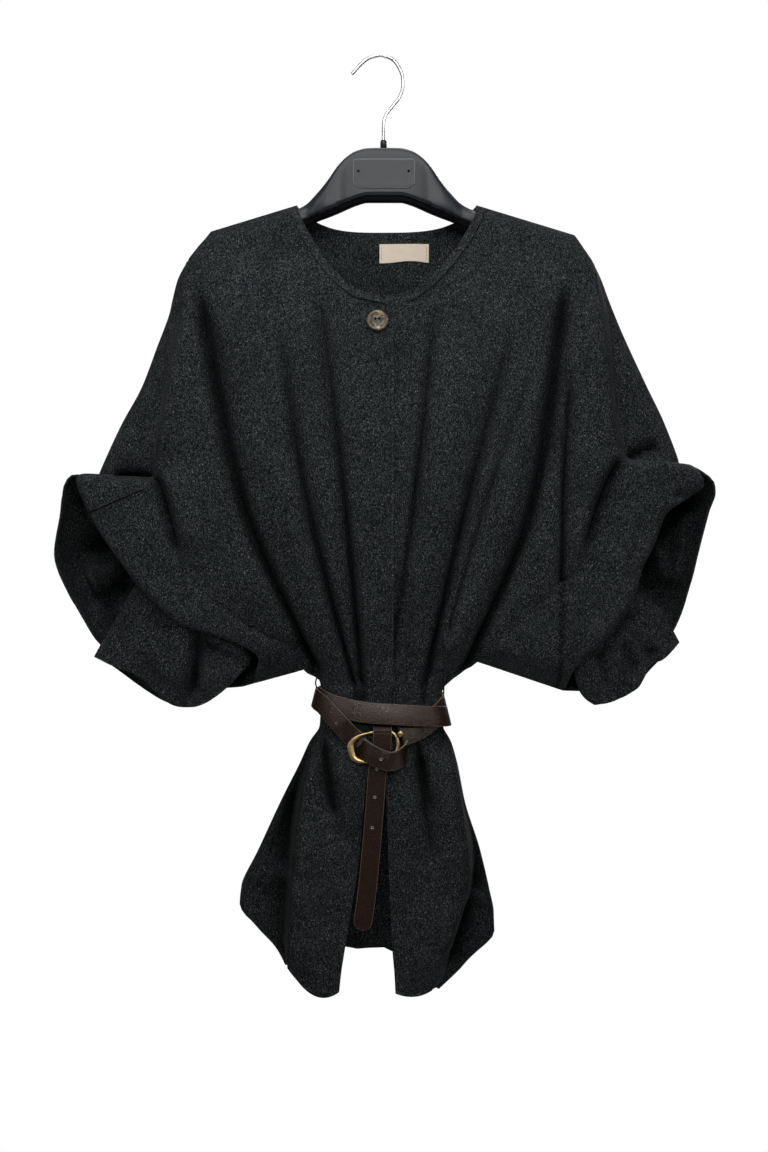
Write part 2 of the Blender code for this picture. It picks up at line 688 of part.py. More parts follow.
# Pleats of the cuffs: place from the outer end, depth and half width as a share of the ring.
CUFF_PLEATS = {
    "cuff_right": ((0.34, 4, 0.05), (0.60, 11, 0.055), (0.76, 5, 0.04), (0.88, 4, 0.04)),
    "cuff_left": ((0.30, 7, 0.06), (0.52, -6, 0.05), (0.72, 4, 0.05)),
}
CUFF_SEAT = {"cuff_right": 0.6, "cuff_left": 1.6}  # more than the gap, for the flats between points
CUFF_RING = 26
CUFF_ROWS = 2


def cuff_rings(name, side, table, tree, ring_points, rows_each):
    """Points of an open, flattened sleeve end; its first ring is seated on the front's inside."""
    places = np.linspace(0, len(table) - 1, (len(table) - 1) * rows_each + 1)
    index = np.arange(len(table))
    cuff = {key: glide(index, column(table, CUFF, key), places) for key in CUFF}
    angle = np.linspace(0, 2 * np.pi, ring_points, endpoint=False)
    share = (1 - np.cos(angle)) / 2
    in_front = np.sin(angle) >= 0
    rings = []
    for i, place in enumerate(places):
        w = cuff["outer_w"][i] + (cuff["inner_w"][i] - cuff["outer_w"][i]) * share
        z = cuff["outer_z"][i] + (cuff["inner_z"][i] - cuff["outer_z"][i]) * share
        z = z - cuff["sag"][i] * np.sin(np.pi * share ** 1.25)
        middle = (cuff["front"][i] + cuff["back"][i]) / 2
        half_depth = (cuff["back"][i] - cuff["front"][i]) / 2
        y = middle - half_depth * np.sign(np.sin(angle)) * abs(np.sin(angle)) ** 0.6
        grown = smooth(place / (len(table) - 1))
        for at, deep, wide in CUFF_PLEATS[name]:
            bump = deep * np.exp(-(((share - at) / wide) ** 2)) * grown
            y = y + np.where(in_front, bump, 0.35 * bump * np.clip(-np.sin(angle), 0, 1))
        for j in range(ring_points):
            hit = depth_on(tree, side * w[j], z[j])
            if hit is not None:
                y[j] = max(y[j], hit + CLOTH + GAP + CUFF_SEAT[name])
        rings.append(np.stack([side * w, y, z], axis=1))
    rings = np.array(rings)
    return np.concatenate([rings, rings[:, :1]], axis=1)


def make_cuffs(trees):
    for name, side, table in (("cuff_right", -1, RIGHT_CUFF), ("cuff_left", 1, LEFT_CUFF)):
        tree = trees[name.replace("cuff", "front")]
        sheet = Sheet()
        sheet.add(cuff_rings(name, side, table, tree, CUFF_RING, CUFF_ROWS))
        sheet.wall(name, CLOTH, "wool")


def curve_through(points, per_span):
    """A smooth line through points chosen by hand."""
    points = np.asarray(points, float)
    index = np.arange(len(points))
    places = np.linspace(0, len(points) - 1, (len(points) - 1) * per_span + 1)
    return np.stack([glide(index, points[:, k], places) for k in range(points.shape[1])], axis=1)


def strap(name, centres, faces, width=BELT_WIDTH, thickness=LEATHER, colour="leather"):
    """A flat strap along its centre line; faces are the directions that its outside looks in."""
    centres = np.asarray(centres, float)
    along = unit(np.gradient(centres, axis=0))
    ups = unit(np.cross(faces, along))
    ups = ups * np.where(ups[:, 2] < 0, -1, 1)[:, None]
    out = np.cross(along, ups)
    bm = bmesh.new()
    rings = []
    for centre, up, normal in zip(centres, ups, out):
        corners = [
            centre + up * width / 2 * a + normal * thickness / 2 * b
            for a, b in ((-1, -1), (1, -1), (1, 1), (-1, 1))
        ]
        rings.append([bm.verts.new(Vector(c) * MM) for c in corners])
    for first, second in zip(rings, rings[1:]):
        for k in range(4):
            n = (k + 1) % 4
            bm.faces.new([first[k], first[n], second[n], second[k]])
    bm.faces.new(rings[0][::-1])
    bm.faces.new(rings[-1])
    bmesh.ops.recalc_face_normals(bm, faces=bm.faces)
    mesh = bpy.data.meshes.new(name)
    bm.to_mesh(mesh)
    bm.free()
    return finish(bpy.data.objects.new(name, mesh), colour)


FIRST_TURN = 3.0  # middle of the leather outside the cloth's middle
SECOND_TURN = 6.3
# Height of the belt's middle round the waist, by the angle from the viewer's right, counted over two turns.
BELT_HEIGHT = (
    (-80, -740), (-62, -733), (-30, -716), (0, -706), (90, -701), (180, -698), (225, -706), (270, -714),
    (360, -719), (450, -712), (540, -699), (600, -714),
)
BELT_STEP = 8


def waist_point(degrees, off, z):
    """A place on the waist's ring, this far outside the middle of the cloth."""
    angle = math.radians(degrees)
    power = 2 / WAIST["square"]
    cos, sin = math.cos(angle), math.sin(angle)
    return (
        WAIST["x"] + (WAIST["wide"] + off) * math.copysign(abs(cos) ** power, cos),
        WAIST["y"] + (WAIST["deep"] + off) * math.copysign(abs(sin) ** power, sin),
        z,
    )


def belt_height(degrees):
    return glide([row[0] for row in BELT_HEIGHT], [row[1] for row in BELT_HEIGHT], degrees)


def even_line(points, step):
    """The same line with points this far apart."""
    points = np.asarray(points, float)
    run = np.concatenate([[0], np.cumsum(np.linalg.norm(np.diff(points, axis=0), axis=1))])
    count = max(2, round(run[-1] / step) + 1)
    places = np.linspace(0, run[-1], count)
    return np.stack([np.interp(places, run, points[:, k]) for k in range(3)], axis=1)


def turn(first, last, offs):
    """Centre line of a stretch of the wound belt."""
    degrees = np.arange(first, last + 0.5, 1.0)
    off = np.interp(degrees, [row[0] for row in offs], [row[1] for row in offs])
    points = [waist_point(d, o, float(belt_height(d))) for d, o in zip(degrees, off)]
    return even_line(points, BELT_STEP)


# The lower strap comes round the left side, goes behind the buckle's bar and turns back up as the knot's loop.
STRAP_LINE = (
    (-45, -53.0, -727), (-36, -52.1, -737), (-29, -52.6, -743), (-24.5, -55.6, -750.2), (-20, -62.6, -751.4),
    (-12.5, -66.7, -756), (-3, -67.4, -760), (7, -67.2, -762), (15, -64.6, -760), (19.5, -61.8, -756.5),
    (21, -59.8, -752.5),
)
STRAP_WIDTH = 20.5
STRAP_FACES = (
    (-0.35, -1, 0.1), (-0.2, -1, 0.12), (-0.1, -1, 0.12), (-0.45, -0.9, 0.1), (-0.6, -0.8, 0),
    (-0.3, -0.95, 0), (0, -1, 0), (0.1, -1, 0), (0.4, -0.9, 0), (0.6, -0.8, 0),
    (0.8, -0.6, 0),
)
TAIL_LINE = (
    (-1.5, -50.5, -714), (-1.5, -50.5, -726), (-1.5, -56.8, -729), (-1.5, -60.9, -733.5), (-2, -62.0, -744),
    (-4, -62.9, -760), (-7, -63.2, -774), (-9, -65.3, -800), (-13, -69.5, -850), (-18, -73.5, -900),
    (-23.5, -76.5, -939),
)
TAIL_WIDTH = 19.5


def unit(v):
    v = np.asarray(v, float)
    return v / np.linalg.norm(v, axis=-1, keepdims=True)


def turn_faces(points):
    """Directions straight out of the waist's ring."""
    along = np.gradient(points, axis=0)
    faces = np.stack([along[:, 1], -along[:, 0], 0 * along[:, 2]], axis=1)
    return unit(faces)


def make_belt():
    first = turn(-76, 178.7, ((-76, FIRST_TURN), (180, FIRST_TURN)))
    strap("belt_first_turn", first, turn_faces(first))
    second = turn(181.3, 538.7, ((180, FIRST_TURN), (235, FIRST_TURN), (285, SECOND_TURN), (540, SECOND_TURN)))
    strap("belt_second_turn", second, turn_faces(second))
    side = np.array([waist_point(d, SECOND_TURN, float(belt_height(d))) for d in (541.5, 550, 560, 570)])
    line = curve_through(np.concatenate([side, STRAP_LINE]), 2)
    faces = curve_through(np.concatenate([turn_faces(side), STRAP_FACES]), 2)
    strap("belt_strap", line, faces, STRAP_WIDTH)
    tail = curve_through(TAIL_LINE, 2)
    strap("belt_tail", tail, np.tile((0.0, -1.0, 0.0), (len(tail), 1)), TAIL_WIDTH)


BUCKLE = {"x": -11.0, "y": -57.4, "z": -748.3, "tilt": 12.0, "lean": 8.5, "thick": 2.4, "square": 2.8}
BUCKLE_OUTER = (28.0, 16.0, 0.0)  # half width, half height, shift
BUCKLE_INNER = (22.3, 13.7, 1.4)


def make_buckle():
    """A flat oval frame, wider at its left bar."""
    curve = bpy.data.curves.new("buckle", "CURVE")
    curve.dimensions = "2D"
    curve.fill_mode = "BOTH"
    curve.extrude = BUCKLE["thick"] / 2 * MM
    for wide, high, shift in (BUCKLE_OUTER, BUCKLE_INNER):
        spline = curve.splines.new("POLY")
        count = 28
        spline.points.add(count - 1)
        power = 2 / BUCKLE["square"]
        for k in range(count):
            a = 2 * math.pi * k / count
            x = wide * math.copysign(abs(math.cos(a)) ** power, math.cos(a)) + shift
            z = high * math.copysign(abs(math.sin(a)) ** power, math.sin(a))
            spline.points[k].co = (x * MM, z * MM, 0, 1)
        spline.use_cyclic_u = True
    obj = bpy.data.objects.new("buckle", curve)
    obj.location = Vector((BUCKLE["x"], BUCKLE["y"], BUCKLE["z"])) * MM
    obj.rotation_euler = (math.radians(90 - BUCKLE["lean"]), math.radians(-BUCKLE["tilt"]), 0)
    finish(obj, "brass")


def turned(name, profile, place, tilt, colour, steps=24):
    """A profile of (radius, height) turned about its own axis."""
    mesh = bpy.data.meshes.new(name)
    points = [(r * MM, 0, h * MM) for r, h in profile]
    mesh.from_pydata(points, [(i, i + 1) for i in range(len(points) - 1)], [])
    obj = bpy.data.objects.new(name, mesh)
    obj.location = Vector(place) * MM
    obj.rotation_euler = tilt
    screw = obj.modifiers.new("turn", "SCREW")
    screw.steps = screw.render_steps = steps
    screw.use_merge_vertices = True
    screw.merge_threshold = 1e-6
    screw.use_normal_calculate = True
    return finish(obj, colour)


STUD = {"x": 17.5, "z": -735.0, "radius": 3.4}
FACE_FRONT = (math.radians(90), 0, 0)


def make_stud():
    """The rivet that closes the belt's end round the buckle's bar."""
    foot = -52.2
    head = -58.5
    r = STUD["radius"]
    profile = [(0, 0), (1.6, 0), (1.6, 3.0)]
    for k in range(5):
        a = math.pi * (0.2 + 0.8 * k / 4)
        profile.append((r * math.sin(a), foot - head - r * math.cos(a) * 0.7))
    profile[-1] = (0, profile[-1][1])
    turned("buckle_stud", profile, (STUD["x"], foot, STUD["z"]), FACE_FRONT, "brass", 12)


BUTTON = {"x": -7.0, "z": -297.0, "radius": 12.6, "thick": 4.0, "hole": 1.2, "hole_at": 3.0}


def make_button(trees):
    """A four-hole button with a raised rim, lying on the right front."""
    y, normal = surface(trees["front_right"], BUTTON["x"], BUTTON["z"], -1)
    r, t = BUTTON["radius"], BUTTON["thick"]
    profile = (
        (0, 0), (r - 3, 0), (r - 0.8, 0.9), (r, 2.0), (r - 0.5, t - 0.4), (r - 1.8, t), (r - 3.4, t - 0.6),
        (r - 5.2, t - 1.6), (0, t - 1.8),
    )
    back = y - CLOTH / 2 - GAP - 0.5
    tilt = normal.to_track_quat("Z", "Y").to_euler()
    obj = turned("button", profile, (BUTTON["x"], back, BUTTON["z"]), tilt, "horn", 22)
    for k, (dx, dz) in enumerate(((-1, -1), (1, -1), (1, 1), (-1, 1))):
        at = BUTTON["hole_at"]
        punch(obj, f"button_hole_{k}", (BUTTON["x"] + dx * at, back, BUTTON["z"] + dz * at), BUTTON["hole"])


def punch(obj, name, place, radius):
    """Cuts a round hole straight through from the front."""
    bpy.ops.mesh.primitive_cylinder_add(vertices=10, radius=radius * MM, depth=20 * MM)
    cutter = bpy.context.object
    cutter.name = name
    cutter.location = (Vector(place) - Vector(HOOK_INSIDE_TOP)) * MM
    cutter.rotation_euler = FACE_FRONT
    cutter.hide_render = True
    cut = obj.modifiers.new(name, "BOOLEAN")
    cut.object = cutter
    cut.solver = "EXACT"


LABEL = {"x": 22.5, "z": -207.0, "wide": 55.0, "high": 20.0, "thick": 0.6}


def make_label(trees):
    sheet = Sheet()
    rows = []
    for dz in (0.5, 0, -0.5):
        row = []
        for dx in (-0.5, -0.25, 0, 0.25, 0.5):
            x, z = LABEL["x"] + dx * LABEL["wide"], LABEL["z"] + dz * LABEL["high"]
            y = depth_on(trees["back"], x, z)
            row.append((x, y - CLOTH / 2 - GAP - LABEL["thick"] / 2 - 0.1, z))
        rows.append(row)
    sheet.add(np.array(rows))
    sheet.wall("label", LABEL["thick"], "label")


# The hanger, a section per row from the middle out: top, bottom and half depth.
HANGER = ("w", "top", "bottom", "half")
HANGER_SECTIONS = (
    (0, -97.5, -156, 9), (18, -98, -156, 9), (30, -101, -159, 9.5), (40, -107, -163, 10.5), (51, -118, -168, 12),
    (62, -133, -173, 12), (74, -147, -178, 10.5), (86, -159, -183, 6), (97, -164.6, -187, 7),
    (112, -168.4, -191, 13.5), (130, -173.9, -196, 14.5), (160, -183.3, -202, 13.5), (175, -188, -205, 11), (184, -191.6, -205, 5),
)
HANGER_SIDES = 14
HANGER_PLATE = {"wide": 66.0, "high": 30.0, "z": -127.0, "thick": 1.4, "corner": 8.0}


def make_hanger():
    bm = bmesh.new()
    ws = [row[0] for row in HANGER_SECTIONS]
    places = [-w for w in ws[:0:-1]] + ws
    rings = []
    for x in places:
        row = dict(zip(HANGER, HANGER_SECTIONS[ws.index(abs(x))]))
        middle, high = (row["top"] + row["bottom"]) / 2, (row["top"] - row["bottom"]) / 2
        square = 2 + 4 * (1 - smooth((abs(x) - 34) / 40))
        ring = []
        for k in range(HANGER_SIDES):
            a = 2 * math.pi * k / HANGER_SIDES
            power = 2 / square
            y = row["half"] * math.copysign(abs(math.cos(a)) ** power, math.cos(a))
            z = middle + high * math.copysign(abs(math.sin(a)) ** power, math.sin(a))
            ring.append(bm.verts.new(Vector((x, y, z)) * MM))
        rings.append(ring)
    for first, second in zip(rings, rings[1:]):
        for k in range(HANGER_SIDES):
            n = (k + 1) % HANGER_SIDES
            bm.faces.new([first[k], first[n], second[n], second[k]])
    bm.faces.new(rings[0][::-1])
    bm.faces.new(rings[-1])
    bmesh.ops.recalc_face_normals(bm, faces=bm.faces)
    mesh = bpy.data.meshes.new("hanger_body")
    bm.to_mesh(mesh)
    bm.free()
    finish(bpy.data.objects.new("hanger_body", mesh), "black_plastic")


def make_hanger_plate():
    """The blank plate on the hanger's front."""
    curve = bpy.data.curves.new("hanger_plate", "CURVE")
    curve.dimensions = "2D"
    curve.fill_mode = "BOTH"
    curve.extrude = HANGER_PLATE["thick"] / 2 * MM
    corner = HANGER_PLATE["corner"]
    outline = []
    for sx, sz, start in ((1, 1, 0), (-1, 1, 90), (-1, -1, 180), (1, -1, 270)):
        for k in range(5):
            a = math.radians(start + 22.5 * k)
            outline.append((
                sx * (HANGER_PLATE["wide"] / 2 - corner) + corner * math.cos(a),
                sz * (HANGER_PLATE["high"] / 2 - corner) + corner * math.sin(a),
            ))
    spline = curve.splines.new("POLY")
    spline.points.add(len(outline) - 1)
    for point, (x, z) in zip(spline.points, outline):
        point.co = (x * MM, z * MM, 0, 1)
    spline.use_cyclic_u = True
    obj = bpy.data.objects.new("hanger_plate", curve)
    front = -(HANGER_SECTIONS[3][3] + GAP + HANGER_PLATE["thick"] / 2)
    obj.location = Vector((0, front, HANGER_PLATE["z"])) * MM
    obj.rotation_euler = FACE_FRONT
    finish(obj, "black_plastic")


WIRE = 1.9
HOOK_LINE = (
    (-35, 0, -15), (-25, 0, -4), (-15, 0, 3.2), (-4, 0, 5.6), (8, 0, 2), (16, 0, -7), (20.6, 0, -19),
    (21, 0, -28), (18, 0, -39), (10, 0, -50), (2.5, 0, -60), (0, 0, -68), (-0.5, 0, -80), (-0.5, 0, -95.6),
)


def tube(name, points, radius, colour, sides=2):
    curve = bpy.data.curves.new(name, "CURVE")
    curve.dimensions = "3D"
    curve.bevel_depth = radius * MM
    curve.bevel_resolution = sides
    curve.use_fill_caps = True
    spline = curve.splines.new("POLY")
    spline.points.add(len(points) - 1)
    for target, p in zip(spline.points, points):
        target.co = (p[0] * MM, p[1] * MM, p[2] * MM, 1)
    return finish(bpy.data.objects.new(name, curve), colour)


def make_hook():
    tube("hanger_hook", curve_through(HOOK_LINE, 2), WIRE, "chrome", 1)
    bore, outside = WIRE + GAP, 3.6
    profile = ((bore, 0), (outside, 0), (outside, 8), (outside - 0.7, 9), (bore, 9), (bore, 0))
    turned("hanger_socket", profile, (-0.5, 0, -97.0), (0, 0, 0), "black_plastic", 16)


CARRIER = 0.8
CARRIERS = {
    "belt_carrier_right": (
        (-73.4, -17, -679), (-77.6, -17, -688), (-78.0, -17, -706), (-77.6, -17, -726), (-74.6, -17, -736),
    ),
    "belt_carrier_left": (
        (73.0, -17, -684), (72.4, -17, -692), (72.2, -17, -708), (72.0, -17, -728), (69.4, -17, -738),
    ),
}


def make_carriers():
    for name, line in CARRIERS.items():
        tube(name, curve_through(line, 3), CARRIER, "wool", 0)


def clear_scene():
    for obj in list(bpy.data.objects):
        bpy.data.objects.remove(obj, do_unlink=True)


def main():
    clear_scene()
    right, left, trees = make_cloth()
    make_neck_bands(right, left, trees)
    make_cuffs(trees)
    make_button(trees)
    make_label(trees)
    make_belt()
    make_buckle()
    make_stud()
    make_carriers()
    make_hanger()
    make_hanger_plate()
    make_hook()


main()
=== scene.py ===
# %% [markdown]
# # A belted wool poncho on its hanger
# A charcoal wool poncho hangs on a coat hanger, drawn in by a knotted leather belt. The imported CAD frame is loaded
# first, because every visible piece is dressed around it and keeps its size. Lengths in the tables are millimetres:
# x to the viewer's right, y to the back and z up.

# %% Load the frame
import math

import bmesh
import bpy
import numpy as np
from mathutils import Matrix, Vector
from mathutils.bvhtree import BVHTree


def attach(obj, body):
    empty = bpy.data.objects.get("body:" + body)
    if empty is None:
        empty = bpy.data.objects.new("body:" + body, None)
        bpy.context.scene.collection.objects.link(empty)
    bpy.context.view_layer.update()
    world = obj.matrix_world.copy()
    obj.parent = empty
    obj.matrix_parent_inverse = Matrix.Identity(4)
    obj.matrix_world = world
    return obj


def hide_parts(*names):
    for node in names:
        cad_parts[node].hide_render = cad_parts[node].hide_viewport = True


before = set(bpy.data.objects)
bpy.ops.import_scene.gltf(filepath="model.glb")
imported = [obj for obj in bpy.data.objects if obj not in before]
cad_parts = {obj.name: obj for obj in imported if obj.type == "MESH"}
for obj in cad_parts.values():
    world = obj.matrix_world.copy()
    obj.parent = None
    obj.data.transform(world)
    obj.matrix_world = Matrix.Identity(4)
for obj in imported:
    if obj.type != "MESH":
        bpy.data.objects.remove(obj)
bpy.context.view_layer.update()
print("nodes", len(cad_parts))

# %% [markdown]
# The garment was photographed straight on, hanging free in front of white. A long lens at the height of its middle
# keeps the sleeves from bulging. Large soft lights stand to both sides and above, as in a product studio, because
# dark wool shows its folds only under light that grazes it.

# %% Camera, floor and light
CAMERA_AT = (0.004, -1.55, -0.5713)
CAMERA_LENS, SENSOR_WIDTH = 44, 36
QUARTER_TURN = (math.radians(90), 0, 0)  # the camera looks level, and a turned piece faces the front
FLOOR_Z, FLOOR_HALF = -2.15, 1.7
MIDDLE = (0.0, 0.0, -0.55)
SIDE_SIZE, SIDE_WATTS = (0.5, 1.0), 6.5
WHITE = (1.0, 1.0, 1.0, 1)
WALL_GLOW = 0.07


def put(name, data, place=(0, 0, 0), tilt=(0, 0, 0)):
    """A new object in the scene."""
    obj = bpy.data.objects.new(name, data)
    obj.location = place
    obj.rotation_euler = tilt
    bpy.context.scene.collection.objects.link(obj)
    return obj


def area_light(name, place, target, size, watts, spread=180):
    data = bpy.data.lights.new(name, "AREA")
    data.shape = "RECTANGLE"
    data.size, data.size_y = size
    data.energy = watts
    data.spread = math.radians(spread)
    put(name, data, place, (Vector(target) - Vector(place)).to_track_quat("-Z", "Y").to_euler())


camera_data = bpy.data.cameras.new("camera")
camera_data.lens, camera_data.sensor_width = CAMERA_LENS, SENSOR_WIDTH
bpy.context.scene.camera = put("camera", camera_data, CAMERA_AT, QUARTER_TURN)

area_light("key", (-0.1, -0.8, 0.45), (0.0, -0.03, -0.45), (1.2, 0.35), 12.5)
for name, x in (("side_left", -1.2), ("side_right", 1.2)):
    area_light(name, (x, -1.0, -0.1), MIDDLE, SIDE_SIZE, SIDE_WATTS)
area_light("front", (0.05, -1.7, 0.15), (0.0, -0.05, -0.35), (0.5, 0.3), 1.7, 60)
area_light("back", (0.9, 2.0, 0.5), MIDDLE, (1.4, 1.4), 45)

sun_data = bpy.data.lights.new("ceiling", "SUN")
sun_data.energy = 2.2
sun_data.angle = math.radians(24)
put("ceiling", sun_data, tilt=(math.radians(2), 0, 0))

# The studio is white to look at, and its walls give only a little light of their own.
world = bpy.data.worlds.new("studio")
world.use_nodes = True
tree = world.node_tree
dim = tree.nodes["Background"]
white = tree.nodes.new("ShaderNodeBackground")
for walls, strength in ((dim, WALL_GLOW), (white, 1.0)):
    walls.inputs["Color"].default_value = WHITE
    walls.inputs["Strength"].default_value = strength
choose = tree.nodes.new("ShaderNodeMixShader")
seen = tree.nodes.new("ShaderNodeLightPath")
tree.links.new(seen.outputs["Is Camera Ray"], choose.inputs[0])
tree.links.new(dim.outputs[0], choose.inputs[1])
tree.links.new(white.outputs[0], choose.inputs[2])
tree.links.new(choose.outputs[0], tree.nodes["World Output"].inputs["Surface"])
bpy.context.scene.world = world
bpy.context.scene.view_settings.view_transform = "Standard"

floor_mesh = bpy.data.meshes.new("floor")
floor_corners = ((-1, -1), (1, -1), (1, 1), (-1, 1))
floor_mesh.from_pydata([(x * FLOOR_HALF, y * FLOOR_HALF, FLOOR_Z) for x, y in floor_corners], [], [(0, 1, 2, 3)])
floor = put("floor", floor_mesh)
print("camera and lights ready")

# %% [markdown]
# Each surface is a node material that is fixed to the object, so it keeps its scale from every side. The wool is
# a brushed melange: dark fibres, a few pale ones and a short nap. Its troughs are painted darker, as shade. The
# leather is pebbled with pale cut edges, the brass is worn, the button is horn with a swirl, the hanger is satin
# plastic and its hook is chromed.

# %% Materials


class Nodes:
    """Short names for building a material."""

    def __init__(self, name):
        self.material = bpy.data.materials.new(name)
        self.material.use_nodes = True
        self.tree = self.material.node_tree
        self.shader = self.tree.nodes["Principled BSDF"]
        self.where = self.add("ShaderNodeTexCoord").outputs["Object"]

    def add(self, kind, **values):
        node = self.tree.nodes.new(kind)
        for key, value in values.items():
            setattr(node, key, value)
        return node

    def link(self, source, target):
        self.tree.links.new(source, target)

    def textured(self, kind, scale, vector=None, **values):
        """A texture node at this scale, laid by the object's own coordinates."""
        node = self.add(kind, **values)
        node.inputs["Scale"].default_value = scale
        self.link(vector or self.where, node.inputs["Vector"])
        return node

    def stretched(self, scale):
        return self.textured("ShaderNodeMapping", scale).outputs["Vector"]

    def noise(self, scale, detail=2.0, rough=0.5, vector=None, distortion=0.0):
        node = self.textured("ShaderNodeTexNoise", scale, vector)
        for socket, value in (("Detail", detail), ("Roughness", rough), ("Distortion", distortion)):
            node.inputs[socket].default_value = value
        return node.outputs["Fac"]

    def ramp(self, value, stops):
        node = self.add("ShaderNodeValToRGB")
        elements = node.color_ramp.elements
        while len(elements) > 1:
            elements.remove(elements[-1])
        for k, (place, colour) in enumerate(stops):
            element = elements[0] if k == 0 else elements.new(place)
            element.position = place
            element.color = (*colour, 1)
        self.link(value, node.inputs["Fac"])
        return node.outputs["Color"]

    def greys(self, value, *stops):
        """A ramp of greys, by which one value steers another."""
        return self.ramp(value, [(place, (v, v, v)) for place, v in stops])

    def mix(self, blend, fac, a, b):
        node = self.add("ShaderNodeMixRGB", blend_type=blend)
        for socket, value in (("Fac", fac), ("Color1", a), ("Color2", b)):
            if isinstance(value, (int, float)):
                node.inputs[socket].default_value = value
            elif isinstance(value, tuple):
                node.inputs[socket].default_value = (*value, 1)
            else:
                self.link(value, node.inputs[socket])
        return node.outputs["Color"]

    def bump(self, height, distance, strength=1.0, normal=None):
        node = self.add("ShaderNodeBump")
        node.inputs["Distance"].default_value = distance
        node.inputs["Strength"].default_value = strength
        self.link(height, node.inputs["Height"])
        if normal is not None:
            self.link(normal, node.inputs["Normal"])
        return node.outputs["Normal"]

    def set(self, **values):
        for key, value in values.items():
            socket = self.shader.inputs[key.replace("_", " ")]
            if hasattr(value, "is_output"):
                self.link(value, socket)
            else:
                socket.default_value = value
        return self.material


def times(colour, factor):
    return tuple(c * factor for c in colour)


def wool_material(name, dark=1.0):
    n = Nodes(name)
    fibres = n.noise(760, 5, 0.75, n.stretched((1.0, 1.0, 0.55)), 0.6)
    base = n.ramp(fibres, (
        (0.34, times((0.0012, 0.0016, 0.0020), dark)),
        (0.50, times((0.0052, 0.0064, 0.0073), dark)),
        (0.64, times((0.0300, 0.0330, 0.0340), dark)),
    ))
    pale = n.greys(n.noise(1100, 3, 0.6, n.stretched((1.0, 1.0, 0.7)), 1.0), (0.60, 0), (0.68, 1))
    colour = n.mix("MIX", pale, base, times((0.125, 0.124, 0.115), dark))
    colour = n.mix("MULTIPLY", 1.0, colour, n.greys(n.noise(22, 3, 0.55), (0.3, 0.82), (0.7, 1.16)))
    # Painted shade: the wool is darkened by how deep a point lies in a trough.
    trough_shade_fac = n.add("ShaderNodeAttribute", attribute_name="painted_trough_shade").outputs["Fac"]
    colour = n.mix("MULTIPLY", 1.0, colour, n.greys(trough_shade_fac, (0.15, 1.0), (0.9, 0.38)))
    nap = n.noise(900, 4, 0.7)
    felt = n.noise(160, 3, 0.6)
    normal = n.bump(felt, 0.0005, 0.3, n.bump(nap, 0.00022, 0.5))
    return n.set(
        Base_Color=colour, Roughness=0.96, Normal=normal, Sheen_Weight=0.012, Sheen_Roughness=0.3,
        Sheen_Tint=(0.75, 0.77, 0.8, 1), Specular_IOR_Level=0.02,
    )


def leather_material(name, base, low, rough=0.42, shine=0.34):
    n = Nodes(name)
    cells = n.textured("ShaderNodeTexVoronoi", 900, feature="SMOOTH_F1").outputs["Distance"]
    tone = n.noise(95, 4, 0.6)
    colour = n.mix("MIX", tone, low, base)
    colour = n.mix("MULTIPLY", 1.0, colour, n.greys(cells, (0.25, 1.15), (0.62, 0.55)))
    roughness = n.greys(tone, (0.3, rough + 0.1), (0.7, rough - 0.08))
    return n.set(
        Base_Color=colour, Roughness=roughness, Normal=n.bump(n.greys(cells, (0.1, 1), (0.7, 0)), 0.0003, 0.8),
        Specular_IOR_Level=shine, Specular_Tint=(1.0, 0.88, 0.78, 1),
    )


def metal_material(name, bright, dull, rough, grain=300):
    n = Nodes(name)
    wear = n.noise(grain, 4, 0.6)
    colour = n.mix("MIX", n.greys(wear, (0.35, 0), (0.65, 1)), dull, bright)
    roughness = n.greys(wear, (0.3, rough + 0.12), (0.7, rough))
    normal = n.bump(n.noise(700, 3, 0.6), 0.0001, 0.2)
    return n.set(Base_Color=colour, Roughness=roughness, Metallic=1.0, Normal=normal)


def plastic_material(name, colour, rough, shine=0.22, scale=1400):
    n = Nodes(name)
    grain = n.noise(scale, 3, 0.6)
    tint = n.ramp(n.noise(30, 3), ((0.3, times(colour, 0.9)), (0.7, times(colour, 1.1))))
    roughness = n.greys(grain, (0.3, rough + 0.06), (0.7, rough - 0.04))
    return n.set(Base_Color=tint, Roughness=roughness, Normal=n.bump(grain, 0.0001, 0.25), Specular_IOR_Level=shine)


def horn_material(name):
    n = Nodes(name)
    swirl = n.noise(150, 4, 0.6, n.stretched((1.0, 1.0, 1.7)), 1.2)
    colour = n.ramp(swirl, (
        (0.42, (0.005, 0.003, 0.002)), (0.54, (0.022, 0.013, 0.006)), (0.61, (0.12, 0.080, 0.035)),
        (0.68, (0.26, 0.20, 0.11)),
    ))
    # Painted highlight: a paler ring at the raised rim's radius, where the rim catches the light.
    out = n.add("ShaderNodeVectorMath", operation="LENGTH")
    n.link(n.stretched((1.0, 1.0, 0.0)), out.inputs[0])
    rim = n.greys(out.outputs["Value"], (0.0072, 0.0), (0.0090, 0.6), (0.0108, 0.15))
    colour = n.mix("MIX", rim, colour, (0.20, 0.165, 0.10))
    return n.set(Base_Color=colour, Roughness=0.3, Specular_IOR_Level=0.25)


def tape_material(name):
    n = Nodes(name)
    weave = n.textured("ShaderNodeTexWave", 900, bands_direction="X")
    colour = n.mix("MIX", n.noise(60, 3), (0.46, 0.385, 0.30), (0.54, 0.46, 0.37))
    colour = n.mix("MULTIPLY", 0.25, colour, weave.outputs["Color"])
    return n.set(Base_Color=colour, Roughness=0.85, Normal=n.bump(weave.outputs["Fac"], 0.0002, 0.4))


def floor_material(name):
    n = Nodes(name)
    return n.set(Base_Color=n.greys(n.noise(1.4, 3), (0.3, 0.94), (0.7, 0.96)), Roughness=0.9)


